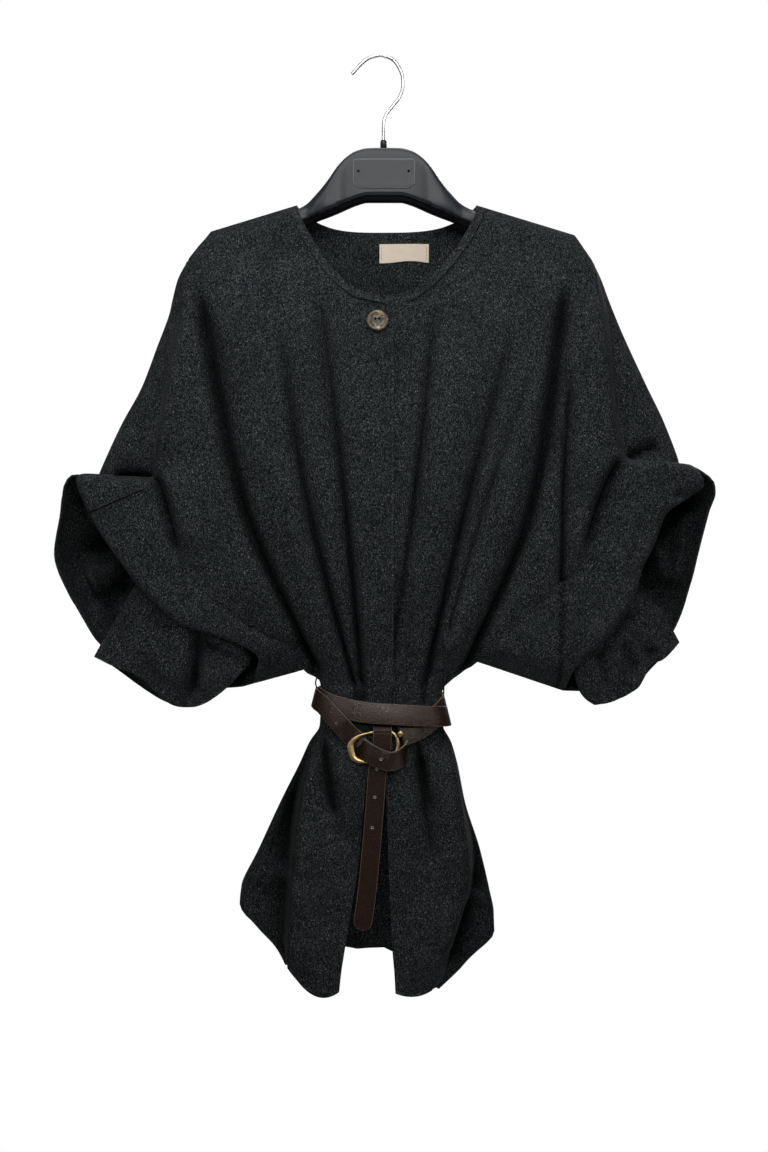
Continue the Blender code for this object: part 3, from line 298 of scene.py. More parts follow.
WOOL = wool_material("wool_cloth")
# Thread a fifth as bright as the wool: on the seams its dark line is partly painted shade of the seam's groove.
THREAD_AND_SEAM_SHADE = wool_material("thread_and_seam_shade", 0.2)
LEATHER_FACE = leather_material("belt_leather", (0.0145, 0.0072, 0.0048), (0.0072, 0.0035, 0.0024), 0.31)
# The tail gets a darker, less glossy copy of the belt leather: painted shade, as the hanging tail catches less light.
SHADED_TAIL_LEATHER = leather_material("shaded_tail_leather", (0.0145, 0.0064, 0.0042), (0.0080, 0.0035, 0.0024), 0.46, 0.14)
# A pale leather for the rim round each hole: a painted glint.
HOLE_GLINT = leather_material("painted_hole_glint", (0.26, 0.215, 0.18), (0.15, 0.12, 0.10), 0.5)
LEATHER_EDGE = leather_material("belt_cut_edge", (0.085, 0.066, 0.053), (0.045, 0.034, 0.027), 0.6)
BRASS = metal_material("aged_brass", (0.50, 0.38, 0.16), (0.20, 0.14, 0.06), 0.26)
HORN = horn_material("button_horn")
TAPE = tape_material("label_tape")
SATIN = plastic_material("hanger_satin", (0.0098, 0.0118, 0.0145), 0.40)
# Near-black plastic that paints shade: on the hanger's stepped band and in the holes of the belt, button and plate.
SHADE_PLASTIC = plastic_material("painted_shade_plastic", (0.0022, 0.0022, 0.0025), 0.7, 0.03)
# Paler plastic for a thin ring round the plate: a painted highlight on the groove's edge.
GROOVE_HIGHLIGHT = plastic_material("painted_groove_highlight", (0.050, 0.055, 0.060), 0.4)
CHROME = metal_material("hook_chrome", (0.50, 0.51, 0.54), (0.30, 0.31, 0.33), 0.26)
floor.data.materials.append(floor_material("studio_floor"))
print("materials ready")

# %% [markdown]
# The poncho is cut as one back and two fronts that run out into the sleeves. Every section of the cut is a row
# here, the same rows that the solids were made from, and the cloth takes its form from them at a finer step. The
# real one would be cut from brushed wool and sewn at the shoulders and the sides. A table is used because the two
# halves differ everywhere, and each row can be read and moved by itself.

# %% The cut and the main folds
MM = 0.001
CLOTH = 2.0  # wall of the wool
GAP = 0.3  # between pieces at a seam
LEATHER = 2.2
BELT_WIDTH = 22.0
HOOK_INSIDE_TOP = (-4.0, 0.0, 3.7)  # becomes the origin
ROW_STEP = 6.0  # longest way between two rows of the cloth's grid
BODY_COLUMNS = 84
SLEEVE_COLUMNS = 40
NECK_FRACTION = 0.446  # share of a back row from the middle to the neck point
NECK_Z, NECK_BACK_Z = -161, -184  # top of the neck at the shoulder seam, and at the middle of the back
NECK_CURVE = 3.2
SHOULDER_SLOPE = 0.31
SHOULDER_ROUND = 24.0  # the shoulder rolls over the hanger's arm
CUT = ("front_w", "front_z", "border_w", "border_z", "edge_w", "edge_z", "rim_w", "rim_z")


def table(names, *rows):
    """Named columns. Where the last edges of a section fall together, its row gives that place only once."""
    rows = [row + row[-2:] * ((len(names) - len(row)) // 2) for row in rows]
    return dict(zip(names, np.array(rows, float).T))


# The cut of each half. front: centre edge of the front panel. border: between the body and the sleeve or the
# skirt's side. edge: outer edge of the front. rim: outer edge of the back.
RIGHT_CUT = table(
    CUT,
    (95, -161, 190, -190.5),
    (95, -163, 191, -192.5),
    (94, -168, 196, -199),
    (91, -178, 204, -208),
    (86, -188, 214, -221),
    (74, -210, 215, -243, 226, -243),
    (60, -232, 214, -262, 231, -262),
    (46, -248, 213, -280, 235, -280),
    (28, -262, 215, -297, 241, -297),
    (-10, -275, 217, -315, 248, -315),
    (-10, -330, 224, -360, 265, -360),
    (-10, -395, 232, -405, 289, -405),
    (-10, -457, 240, -457, 313, -459),
    (-10, -460, 240.3, -459, 315, -467),
    (-10, -463, 240.6, -461, 321, -464),
    (-10, -466, 240.6, -463, 328, -458),
    (-10, -470, 240.6, -466, 331, -462, 338, -459),
    (-10, -477, 239, -473, 327, -474, 346, -470),
    (-10, -503, 229, -503, 314, -503, 350, -500),
    (-10, -546, 217, -546, 286, -546, 358, -544),
    (-10, -580, 195, -580, 260, -580, 345, -584),
    (-10, -599, 176, -599, 241, -599, 331, -610),
    (-10, -618, 152, -616, 219, -618, 312, -642),
    (-10, -629, 134, -627, 185, -629, 285, -666),
    (-10, -641, 112, -637, 155, -640, 235, -684),
    (-10, -655, 90, -647, 134, -656, 185, -690),
    (-10, -666, 87, -659, 138, -672, 155, -688),
    (-10, -676, 87, -669, 142, -684),
    (-9, -686, 70, -680),
    (-8, -697, 67.6, -690),
    (-6, -712, 68, -712),
    (-2, -730, 69, -730),
    (10, -748, 75, -746, 80, -748),
    (17, -772, 79, -770, 91, -772),
    (22, -815, 86, -812, 112, -814),
    (27, -870, 93, -868, 137, -868),
    (34, -915, 96, -905, 156, -908),
    (38, -940, 98, -930, 158, -928),
    (42, -965, 99, -950, 140, -949),
    (45, -985, 100, -966, 121, -967),
    (47, -1004, 101, -980, 105, -984, 104, -982),
)
LEFT_CUT = table(
    CUT,
    (101, -161, 209, -194.5),
    (101, -163, 210, -196.5),
    (100, -168, 214, -202),
    (98, -178, 220, -211),
    (93, -188, 228, -223),
    (80, -210, 228, -243, 238, -243),
    (66, -230, 229, -262, 245, -262),
    (50, -248, 231, -280, 252, -280),
    (32, -262, 233, -297, 259, -297),
    (-17, -276, 235, -315, 267, -315),
    (-17, -330, 238, -358, 287, -358),
    (-17, -388, 241, -398, 306, -398),
    (-17, -440, 250, -437, 322, -440),
    (-17, -444, 250.5, -439, 325, -452),
    (-17, -448, 251, -441, 330, -452),
    (-17, -452, 251, -443, 334, -449),
    (-17, -456, 250, -447, 340, -458, 345, -455),
    (-17, -466, 245, -457, 342, -470, 357, -466),
    (-17, -482, 236, -472, 322, -486, 359, -478),
    (-17, -505, 226, -496, 302, -500, 352, -500),
    (-17, -535, 213, -535, 289, -533, 343, -537),
    (-17, -560, 197, -562, 276, -560, 337, -566),
    (-17, -590, 174, -590, 267, -592, 331, -595),
    (-17, -612, 150, -612, 253, -614, 321, -622),
    (-17, -630, 127, -630, 232, -640, 300, -652),
    (-17, -645, 110, -643, 206, -664, 258, -683),
    (-17, -657, 103, -652, 199, -680, 222, -693),
    (-17, -668, 101, -660, 196, -692),
    (-15, -682, 74, -679),
    (-13, -696, 62.4, -693),
    (-8, -712, 62, -712),
    (-6, -730, 63, -730),
    (-3, -750, 70, -746, 72, -748),
    (1, -775, 76, -770, 79, -772),
    (3, -815, 82, -812, 88, -816),
    (5, -865, 88, -862, 104, -866),
    (7, -915, 83, -910, 115, -912),
    (8, -940, 75, -932, 120, -938),
    (9, -962, 68, -955, 120, -956),
    (11, -985, 60, -975, 95, -980, 98, -974),
    (12, -1005, 50, -1004, 58, -1009, 72, -985),
)

# Depths that both halves share, a row per section. outer: the sleeve or side layer of the front; edge: its
# outer edge; roll: how far in it rolls back to that edge. back_outer, rim and bowl: the same for the back.
# seam: 1 where front and back are sewn together at the outer edge.
DEPTHS = ("back_z", "outer", "edge", "roll", "back_outer", "rim", "bowl", "seam")
SHOULDER_LEVELS = (-184, -186, -191, -199, -209, -226, -243, -262, -280, -298, -345)
SHARED = table(
    DEPTHS,
    *((z, -24, 0, 24, 22, 0, 24, 1) for z in SHOULDER_LEVELS),
    (-398, -25, -1, 24, 22, -1, 24, 1),
    (-446, -25, -2, 24, 22, -2, 24, 1),
    (-449, -27, -4, 22, 24, -4, 24, 1),
    (-453, -34, -10, 20, 28, -10, 28, 1),
    (-457, -42, -18, 18, 32, -18, 32, 1),
    (-461, -48, -30, 14, 34, -24, 40, 0),
    (-471, -51, -43, 9, 35, -24, 48, 0),
    (-497, -51, -43, 9, 35, -22, 48, 0),
    (-540, -50, -42, 9, 34, -18, 48, 0),
    (-576, -50, -42, 9, 32, -12, 48, 0),
    (-597, -50, -42, 9, 30, -7, 48, 0),
    (-618, -49, -41, 9, 26, -1, 44, 0),
    (-633, -48, -40, 9, 22, 2, 40, 0),
    (-645, -47, -40, 9, 17, 2, 36, 0),
    (-655, -45, -38, 9, 10, -1, 30, 0),
    (-666, -30, -27, 9, 2, -5, 20, 0),
    (-676, -12, -10, 9, -8, -10, 10, 1),
    (-684, -15, -15, 9, -15, -15, 9, 1),
    (-697, -19, -19, 9, -19, -19, 9, 1),
    (-712, -19, -19, 9, -19, -19, 9, 1),
    (-730, -19, -19, 9, -19, -19, 9, 1),
    (-750, -36, -18, 20, 0, -18, 20, 1),
    (-775, -33, -15, 20, 8, -15, 20, 1),
    (-820, -27, -9, 20, 18, -9, 20, 1),
    (-872, -23, -3, 20, 27, -3, 20, 1),
    (-915, -21, 1, 20, 32, 1, 20, 1),
    (-940, -21, 2, 20, 34, 2, 20, 1),
    (-960, -23, -12, 20, 38, 20, 20, 0),
    (-977, -30, -24, 20, 43, 32, 20, 0),
    (-990, -46, -42, 20, 48, 44, 20, 0),
)
SLEEVE_START = 4  # section at the shoulder's end, where the sleeve parts from the body
TUCK_ROWS = range(13, 18)  # sections where the edge turns back on itself above the arm opening
WAIST_ROWS = (27, 31)  # sections between which the sides are sewn together under the belt
HEM_ROWS = (35, 5)  # section from which the hem sags, and over how many it grows
# How far the hems hang down between their ends.
HEM_SAG = {-1: 16.0, 1: 4.0}
BACK_HEM_SAG = 3.0

# How far the cloth stands off in front and behind, from the shoulder down.
FRONT_DEPTH = (
    (-161, -24), (-210, -31), (-250, -44), (-300, -54), (-360, -60), (-430, -62), (-520, -60),
    (-600, -55), (-655, -49), (-690, -46), (-730, -46), (-770, -54), (-850, -63), (-920, -69), (-1010, -74),
)
BACK_DEPTH = (
    (-161, 24), (-230, 26), (-300, 30), (-380, 34), (-480, 34), (-580, 29), (-650, 20), (-690, 11),
    (-730, 11), (-770, 22), (-850, 36), (-920, 46), (-1000, 54),
)
# The waist under the belt, seen from above.
WAIST = {"x": -3.0, "y": -19.0, "wide": 65.0, "deep": 29.0, "square": 2.3}

# Largest folds, a row per fold: three points (w, z) of its line from the top down, its height (plus stands out,
# minus sinks in) at the top and at the bottom, and its half width at the top and at the bottom.
RIGHT_FOLDS = (
    (197, -270, 151, -487, 74, -665, -24, -30, 11, 6),
    (172, -285, 110, -487, 40, -672, 5, 7, 19, 11),
    (114, -300, 82, -487, 30, -692, -8, -24, 11, 4),
    (86, -275, 62, -487, 34, -660, 4, 4, 15, 9),
    (68, -270, 42, -487, 22, -694, -8, -24, 9, 4),
    (24, -330, 21, -500, 13, -690, 3, 5, 15, 8),
    (64, -742, 58, -785, 48, -835, -20, -6, 6, 7),
    (45, -745, 42, -820, 60, -960, 7, 4, 14, 24),
    (88, -760, 92, -850, 96, -960, 5, 6, 9, 14),
)
LEFT_FOLDS = (
    (56, -275, 32, -487, 2, -694, -8, -24, 9, 4.5),
    (92, -300, 57, -487, 10, -686, 4, 6, 20, 11),
    (139, -300, 89, -487, 42, -692, -8, -24, 11, 4.5),
    (156, -330, 99, -487, 60, -640, 3, 4, 10, 8),
    (164, -330, 109, -487, 70, -620, -7, -8, 6, 4),
    (181, -275, 132, -487, 62, -672, 5, 8, 16, 12),
    (194, -262, 159, -487, 88, -665, -24, -30, 10, 6),
    (199, -350, 191, -487, 189, -700, -13, -18, 5.5, 4),
    (228, -290, 215, -487, 200, -600, 5, 5, 14, 14),
    (36, -745, 42, -800, 50, -860, -20, -7, 7, 9),
    (66, -745, 72, -820, 66, -950, 7, 5, 12, 14),
    (18, -760, 24, -860, 34, -990, 5, 5, 12, 16),
)
BACK_FOLDS = (
    (176, -300, 140, -470, 82, -660, -16, -24, 13, 7),
    (140, -310, 104, -480, 62, -672, 6, 8, 18, 12),
    (104, -300, 74, -480, 42, -690, -9, -20, 12, 5),
    (60, -330, 44, -500, 24, -680, 5, 6, 18, 10),
    (22, -360, 14, -520, 7, -690, -9, -18, 10, 5),
    (22, -745, 26, -850, 30, -985, -15, -8, 8, 16),
    (48, -745, 62, -850, 74, -975, 7, 8, 10, 20),
    (68, -750, 92, -850, 112, -960, -11, -8, 8, 14),
)
HIGH = 6  # column of a fold's or a crease's height
SECTIONS = len(SHARED["back_z"])
print("sections", SECTIONS)

# %% [markdown]
# A few tools serve every piece. They run a curve through a table, sweep a section along a line, join rings of points
# to a skin, and tie a piece to the model. A piece made this way keeps its form however finely it is divided.

# %% Tools for shapes
def to_world(point):
    """Table millimetres to metres, with the inside of the hook's top at the origin."""
    return (np.asarray(point, float) - HOOK_INSIDE_TOP) * MM


def bare(name, data, material, place=(0, 0, 0), tilt=(0, 0, 0)):
    """An object in the scene with its material."""
    obj = put(name, data, place, tilt)
    obj.data.materials.append(material)
    return obj


def keep(obj, nodes):
    """Ties a piece to the model, in the place of the solids it stands for."""
    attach(obj, "root")
    if nodes:
        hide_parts(*nodes)


def dress(name, data, material, nodes):
    obj = bare(name, data, material)
    keep(obj, nodes)
    return obj


def unit(v):
    v = np.asarray(v, float)
    return v / np.linalg.norm(v, axis=-1, keepdims=True)


def smooth(t):
    """0 to 1 with level ends."""
    t = np.clip(t, 0.0, 1.0)
    return t * t * (3 - 2 * t)


def below(z, level, way):
    """0 above a level, growing softly to 1 over this way below it."""
    return smooth((level - z) / way)


def above(z, level, way):
    return smooth((z - level) / way)


def within(z, top, way_in, bottom, way_out):
    return below(z, top, way_in) * above(z, bottom, way_out)


def roll(t):
    """A quarter round: 0 on the edge, 1 from one radius inwards."""
    t = np.clip(t, 0.0, 1.0)
    return np.sqrt(np.maximum(0.0, 1 - (1 - t) ** 2))


def glide(table_x, table_y, x):
    """A curve through the table that never overshoots it; table_x rises."""
    xs = np.asarray(table_x, float)
    ys = np.asarray(table_y, float)
    step = np.diff(xs)
    slope = np.diff(ys) / step
    tangent = np.zeros(len(xs))
    same = slope[:-1] * slope[1:] > 0
    inner = np.zeros(len(slope) - 1)
    inner[same] = 2 * slope[:-1][same] * slope[1:][same] / (slope[:-1] + slope[1:])[same]
    tangent[1:-1] = inner
    tangent[0], tangent[-1] = slope[0], slope[-1]
    x = np.clip(x, xs[0], xs[-1])
    i = np.clip(np.searchsorted(xs, x, side="right") - 1, 0, len(step) - 1)
    h = step[i]
    t = (x - xs[i]) / h
    rise = t * t * (3 - 2 * t)
    return (
        ys[i] + (ys[i + 1] - ys[i]) * rise
        + h * (tangent[i] * t * (1 - t) ** 2 - tangent[i + 1] * t * t * (1 - t))
    )


def curve_through(points, per_span):
    """A smooth line through given points."""
    points = np.asarray(points, float)
    index = np.arange(len(points))
    places = np.linspace(0, len(points) - 1, (len(points) - 1) * per_span + 1)
    return np.stack([glide(index, points[:, k], places) for k in range(points.shape[1])], axis=1)


def run_along(points):
    """Length of a line up to each of its points."""
    return np.concatenate([[0], np.cumsum(np.linalg.norm(np.diff(points, axis=0), axis=1))])


def place_on(points, run, place):
    """The point of a line at a length along it."""
    return np.stack([np.interp(place, run, points[:, k]) for k in range(3)], axis=-1)


def circle(count):
    return [2 * math.pi * k / count for k in range(count)]


def squarish(angle, power):
    """Cosine and sine of a ring that is squarer than a circle when the power is below 1."""
    return tuple(math.copysign(abs(v) ** power, v) for v in (math.cos(angle), math.sin(angle)))


def rounded_outline(wide, high, upper, lower, steps):
    """A rectangle with rounded corners. upper and lower are the radii above and below the middle."""
    outline = []
    for sx, sz, start in ((1, 1, 0), (-1, 1, 90), (-1, -1, 180), (1, -1, 270)):
        radius = upper if sz > 0 else lower
        for k in range(steps + 1):
            a = math.radians(start + 90 / steps * k)
            outline.append((
                sx * (wide / 2 - radius) + radius * math.cos(a), sz * (high / 2 - radius) + radius * math.sin(a),
            ))
    return outline


def skin(bm, rings, caps=0, slot=lambda ring, side: 0):
    """Faces from ring to ring. caps is the material slot of both ends, or None where the rings close in a loop."""
    count = len(rings[0])
    for n, (first, second) in enumerate(zip(rings, rings[1:])):
        for k in range(count):
            m = (k + 1) % count
            bm.faces.new([first[k], first[m], second[m], second[k]]).material_index = slot(n, k)
    if caps is not None:
        bm.faces.new(rings[0][::-1]).material_index = caps
        bm.faces.new(rings[-1]).material_index = caps


def mesh_of(name, bm, soft=True):
    """The finished mesh, with its faces turned outwards."""
    bmesh.ops.recalc_face_normals(bm, faces=bm.faces)
    mesh = bpy.data.meshes.new(name)
    bm.to_mesh(mesh)
    bm.free()
    for polygon in mesh.polygons:
        polygon.use_smooth = soft
    return mesh


print("tools ready")

# %% [markdown]
# Between the sections the cloth runs on in smooth curves, rolls over the hanger's arms and is drawn in at the
# waist. These few functions give the depth of a panel at any place. The real folds come from the belt that gathers
# the cloth, so each one runs out of the waist and fades towards the shoulder or the hem. They are listed one by one,
# because the photo shows few of them, deep and uneven.

# %% How a panel stands
SIDE_CURVE = 9  # how much nearer to the middle plane a panel's side lies
SIDE_CURVE_FROM = (-200, 80)  # level, and the way in which it grows
PINCH = (-638, 46, -775, 45)  # the cloth is drawn to the waist: top, way in, bottom, way out
PLEATS_ABOVE, PLEATS_BELOW = (-690, 14), (-744, 12)  # past the belt the folds stand again: level and way
PLEAT_SHARE = 0.75
SIDE_SEAM = (-646, 22, -750, 18)
SIDE_SEAM_Y = ((-700, -665), (-19, -10))  # levels and depths of the side seam
LAP = (-250, 16, -775, 30)  # the left front lies under the right one between these levels
LAP_EDGE = (36, 14)  # from this far past the middle
FOLD_ENDS = (25, 60, 22)  # a fold starts this far above its line, over this way, and ends this far below it
TROUGH_NARROWER = 1.5
SIDE_REACH, SIDE_SEAM_REACH = 30, 26  # from this far in, the folds and the side seam run out to the border
ARM_TOP = (-470, 20)  # below this level the edge no longer rolls in: the arm opening
UNDER_FRONT = 2.0  # air between the two fronts where they lap


def depth_at(levels, z):
    return glide(*zip(*levels[::-1]), z)


def section_steps(row_step):
    """Places between the sections, so that no two rows are further apart than row_step."""
    levels = np.stack([RIGHT_CUT["edge_z"], LEFT_CUT["edge_z"], SHARED["back_z"]])
    counts = np.maximum(1, np.ceil(abs(np.diff(levels)).max(axis=0) / row_step)).astype(int)
    return np.array([i + k / count for i, count in enumerate(counts) for k in range(count)] + [len(counts)])


def between_rows(rows, places):
    """Every column of a table at places between its rows."""
    return {name: glide(range(len(values)), values, places) for name, values in rows.items()}


class Half:
    """One half of the poncho at the places asked for: every column of its cut and of the shared depths."""

    def __init__(self, side, cut, folds, places):
        self.side = side
        self.hem_sag = HEM_SAG[side]
        self.folds = folds
        self.cut = cut
        self.rows = between_rows(cut, places)
        self.depths = between_rows(SHARED, places)
        self.places = places
        self.neck_w = cut["front_w"][0]
        self.over = None

    def outline_w(self, z, name):
        """Distance out to a named edge at a level of the body."""
        outs = np.delete(self.cut[name], TUCK_ROWS)
        levels = np.delete(self.cut[name.replace("_w", "_z")], TUCK_ROWS)
        order = np.argsort(levels)
        return np.interp(z, levels[order], outs[order])

    def shoulder_z(self, w):
        return NECK_Z - SHOULDER_SLOPE * np.maximum(np.asarray(w, float) - self.neck_w, 0)


def fold_shape(away, high):
    """Share of a fold's height this far from its line: a ridge is round, a trough is pulled to a narrow line."""
    if high > 0:
        return np.exp(-(away**2))
    return np.exp(0.14 - np.sqrt(away**2 + 0.02))


def folds_at(folds, w, z):
    """Height of all folds at a place, each fading past the ends of its line."""
    over, way, under = FOLD_ENDS
    total = np.zeros(np.broadcast(w, z).shape)
    for w1, z1, w2, z2, w3, z3, high1, high3, half1, half3 in folds:
        t = np.clip((z - z1) / (z3 - z1), 0, 1)
        away = abs(w - glide([z3, z2, z1], [w3, w2, w1], z)) / (half1 + (half3 - half1) * t)
        shape = fold_shape(away * (1.0 if high1 > 0 else TROUGH_NARROWER), high1)
        total = total + (high1 + (high3 - high1) * t) * within(z, z1 + over, way, z3 - under, under) * shape
    return total


def waist_y(half, w, sign):
    """The cloth's ring under the belt."""
    out = abs((half.side * w - WAIST["x"]) / WAIST["wide"])
    square = WAIST["square"]
    round_off = np.maximum(0.0, 1 - np.minimum(out, 1.0) ** square) ** (1 / square)
    return WAIST["y"] + sign * WAIST["deep"] * round_off


def flat_y(half, w, z, sign):
    """Depth of a body panel before its outer edge rolls in. sign is -1 in front and 1 behind."""
    border = half.outline_w(z, "border_w")
    depth, folds = (FRONT_DEPTH, half.folds) if sign < 0 else (BACK_DEPTH, BACK_FOLDS)
    standing = sign * folds_at(folds, w, z)
    curve = SIDE_CURVE * np.clip(abs(w) / border, 0, 1.2) ** 4 * below(z, *SIDE_CURVE_FROM)
    y = depth_at(depth, z) - sign * curve + standing
    pinch = within(z, *PINCH)
    y = y + (waist_y(half, w, sign) - y) * pinch
    drawn = pinch * (above(z, *PLEATS_ABOVE) + below(z, *PLEATS_BELOW))
    y = y + PLEAT_SHARE * standing * drawn * roll((border - w) / SIDE_REACH)
    seam_y = np.interp(z, *SIDE_SEAM_Y)
    side = np.clip((border - w) / SIDE_SEAM_REACH, 0, 1)
    return y + (seam_y + (y - seam_y) * roll(side) - y) * within(z, *SIDE_SEAM) * (1 - pinch)


def body_y(half, w, z, sign):
    """Depth of a body panel with its roll over the shoulder and into the sleeve's top."""
    y = flat_y(half, w, z, sign)
    name = "edge_w" if sign < 0 else "rim_w"
    top = roll((half.shoulder_z(w) - z) / SHOULDER_ROUND)
    out = roll((half.outline_w(z, name) - w) / SHOULDER_ROUND)
    out = 1 - (1 - out) * above(z, *ARM_TOP)
    y = y * np.minimum(top, out)
    if sign < 0 and half.over is not None:
        # Under the right front it follows that panel from inside.
        under = body_y(half.over, -w, z, sign) + CLOTH + GAP + UNDER_FRONT
        y = y + (under - y) * below(w, *LAP_EDGE) * within(z, *LAP)
    return y


print("panel tools ready")

# %% [markdown]
# The fronts, the back and the sleeve ends also carry small creases, so the wool looks worn in and not pressed. Each
# is a short bent line with a height and a half width. A lap is steep on one side and runs out on the other, as
# where a layer of cloth lies over the next.

# %% Small creases
WAVE_SHARE = 0.6
FULL_SHADE_DEPTH = 15  # depth of a trough at which the painted shade is darkest
LAP_STEEP = 0.12
FADE_SHARE = 0.2  # share of a crease's line over which each of its ends fades
CALM_TOP, CALM_EDGE = 30, 16  # creases grow over this way below the shoulder, and in from a sewn edge
UNDER_BELT = (-660, 16, -745, 12)  # the belt presses the creases flat: top, way in, bottom, way out
# A row per crease: three points (x, z) of its line, its height, its half width and, for a lap, its side.
CREASES = {
    "front_right": (
        (-296, -460, -272, -458, -241, -462, -16, 4),
        (-244, -459, -232, -490, -218, -551, -18, 5),
        (-240, -459, -228, -490, -214, -551, 10, 24, 1),
        (-230, -295, -237, -380, -244, -455, 8, 20, 1),
        (-226, -457, -212, -501, -206, -538, 4, 9),
        (-85, -632, -109, -652, -134, -666, -7, 8),
        (-70, -723, -88, -806, -98, -907, 13, 24, 1),
        (-77, -723, -96, -806, -104, -907, -13, 9),
        (-97, -887, -99, -939, -102, -993, 13, 24, 1),
        (-102, -887, -104, -939, -108, -987, -10, 8),
        (-79, -732, -98, -806, -106, -907, -9, 44, -1),
        (-104, -887, -106, -939, -110, -987, -8, 38, -1),
        (-65, -739, -61, -785, -50, -827, -8, 5),
        (-45, -769, -37, -806, -35, -849, 4, 8),
        (-281, -551, -239, -593, -180, -623, 4, 14),
    ),
    "front_left": (
        (227, -263, 237, -350, 247, -436, 8, 18, -1),
        (260, -441, 280, -432, 300, -424, -16, 4),
        (255, -439, 233, -478, 211, -551, -19, 5),
        (250, -439, 229, -478, 207, -551, 10, 18, -1),
        (283, -445, 313, -453, 339, -470, 5, 6),
        (305, -481, 326, -480, 345, -478, -9, 5),
        (195, -670, 207, -687, 219, -700, -8, 4),
        (79, -780, 92, -854, 84, -923, 13, 24, -1),
        (85, -780, 99, -854, 92, -923, -12, 9),
        (86, -907, 73, -950, 58, -993, 13, 24, -1),
        (93, -907, 81, -950, 66, -989, -10, 8),
        (87, -780, 101, -854, 94, -923, -9, 44, 1),
        (94, -907, 82, -950, 67, -989, -8, 36, 1),
        (39, -756, 45, -790, 54, -826, -8, 5),
        (262, -487, 253, -551, 230, -620, 4, 12),
        (266, -580, 237, -621, 211, -652, 6, 9),
    ),
    "back": (
        (-339, -542, -323, -536, -298, -529, 12, 7),
        (-332, -572, -308, -562, -285, -553, -20, 13),
        (-310, -606, -296, -585, -281, -567, 10, 9),
        (-326, -478, -324, -499, -320, -521, -18, 12),
        (-311, -589, -320, -572, -328, -551, -14, 10),
        (-322, -593, -311, -617, -302, -636, -14, 9),
        (310, -499, 298, -535, 283, -572, 9, 9),
        (298, -527, 307, -551, 311, -577, -14, 9),
        (283, -574, 298, -589, 317, -612, 9, 8),
        (333, -487, 328, -535, 317, -585, -18, 10),
        (311, -593, 302, -617, 298, -636, -10, 8),
        (-153, -274, -130, -401, -89, -551, 6, 10),
        (155, -274, 136, -412, 96, -551, -7, 9),
        (-249, -423, -164, -487, -100, -593, 5, 16),
        (249, -423, 166, -497, 102, -604, 5, 16),
    ),
    "cuff_right": (
        (-259, -622, -250, -616, -241, -611, -6, 3),
        (-239, -626, -231, -620, -224, -616, -6, 3),
        (-207, -625, -209, -657, -219, -698, 10, 34, -1),
        (-199, -632, -202, -659, -211, -704, -15, 6),
        (-209, -627, -193, -638, -181, -651, -12, 8),
        (-183, -643, -174, -650, -163, -659, -8, 4),
        (-199, -646, -192, -668, -185, -695, 7, 7),
        (-173, -666, -164, -674, -158, -683, 5, 6),
        (-271, -636, -251, -652, -239, -670, 5, 12),
    ),
    "cuff_left": (
        (253, -621, 253, -652, 252, -698, 8, 17, -1),
        (259, -636, 264, -653, 275, -672, -10, 7),
        (283, -658, 290, -653, 298, -647, -9, 4),
        (273, -593, 290, -606, 302, -627, 4, 8),
        (230, -646, 236, -666, 236, -691, -5, 6),
        (274, -595, 246, -635, 222, -665, -11, 7),
    ),
}
# Low waves over all the cloth: turns per millimetre along x and z, start and height.
WAVES = ((0.021, 0.013, 0.4, 0.9), (-0.034, 0.019, 1.9, 0.6), (0.055, -0.027, 3.1, 0.4), (0.012, 0.047, 5.2, 0.5))


def crease_line(a, b, c):
    """Points along a crease that bends through three places."""
    t = np.linspace(0, 1, 13)[:, None]
    bend = 2 * b - (a + c) / 2
    return (1 - t) ** 2 * a + 2 * t * (1 - t) * bend + t * t * c


def crease_heights(rows, x, z):
    """Sum of the creases at these places; a lap is steep on its left side and runs out to the right."""
    total = np.zeros(x.shape)
    for row in rows:
        line = crease_line(*np.reshape(row[:HIGH], (3, 2)))
        high, half, *lap = row[HIGH:]
        best = np.full(x.shape, 1e9)
        along = np.zeros(x.shape)
        side = np.zeros(x.shape)
        for k, (a, b) in enumerate(zip(line, line[1:])):
            d = b - a
            t = np.clip(((x - a[0]) * d[0] + (z - a[1]) * d[1]) / (d @ d), 0, 1)
            px, pz = x - a[0] - t * d[0], z - a[1] - t * d[1]
            far = np.hypot(px, pz)
            near = far < best
            best = np.where(near, far, best)
            along = np.where(near, (k + t) / (len(line) - 1), along)
            side = np.where(near, np.sign(d[0] * pz - d[1] * px), side)
        width = half * np.where(sum(lap) * side < 0, LAP_STEEP, 1.0)
        fade = smooth(along / FADE_SHARE) * smooth((1 - along) / FADE_SHARE)
        total = total + high * fade * fold_shape(best / width, high)
    return total


def small_waves(x, z):
    return sum(high * np.sin(fx * x + fz * z + at) for fx, fz, at, high in WAVES)


def troughs(rows):
    return [row for row in rows if row[HIGH] < 0]


def painted_trough_shade(name, x, z):
    """How deep a place lies in a trough, from 0 on the open cloth to 1: the wool's painted shade there."""
    if name == "back":
        low = folds_at(troughs(BACK_FOLDS), abs(x), z)
    else:
        low = crease_heights(troughs(CREASES[name]), x, z)
    if name.startswith("front"):
        low = low + folds_at(troughs((right if name == "front_right" else left).folds), abs(x), z)
    return np.clip(-low / FULL_SHADE_DEPTH, 0, 1)


def relief(name, half, points, layer_free):
    """How far the small creases lift a panel, fading where it is sewn."""
    x, z = points[..., 0], points[..., 2]
    w = half.side * x
    lift = crease_heights(CREASES[name], x, z) + WAVE_SHARE * small_waves(x, z)
    level = below(z, half.shoulder_z(w), CALM_TOP)
    edge = half.outline_w(z, "edge_w" if name != "back" else "rim_w")
    side = np.where(layer_free, 1.0, below(w, edge, CALM_EDGE))
    return lift * level * side * (1 - within(z, *UNDER_BELT))


print("creases", sum(len(rows) for rows in CREASES.values()))

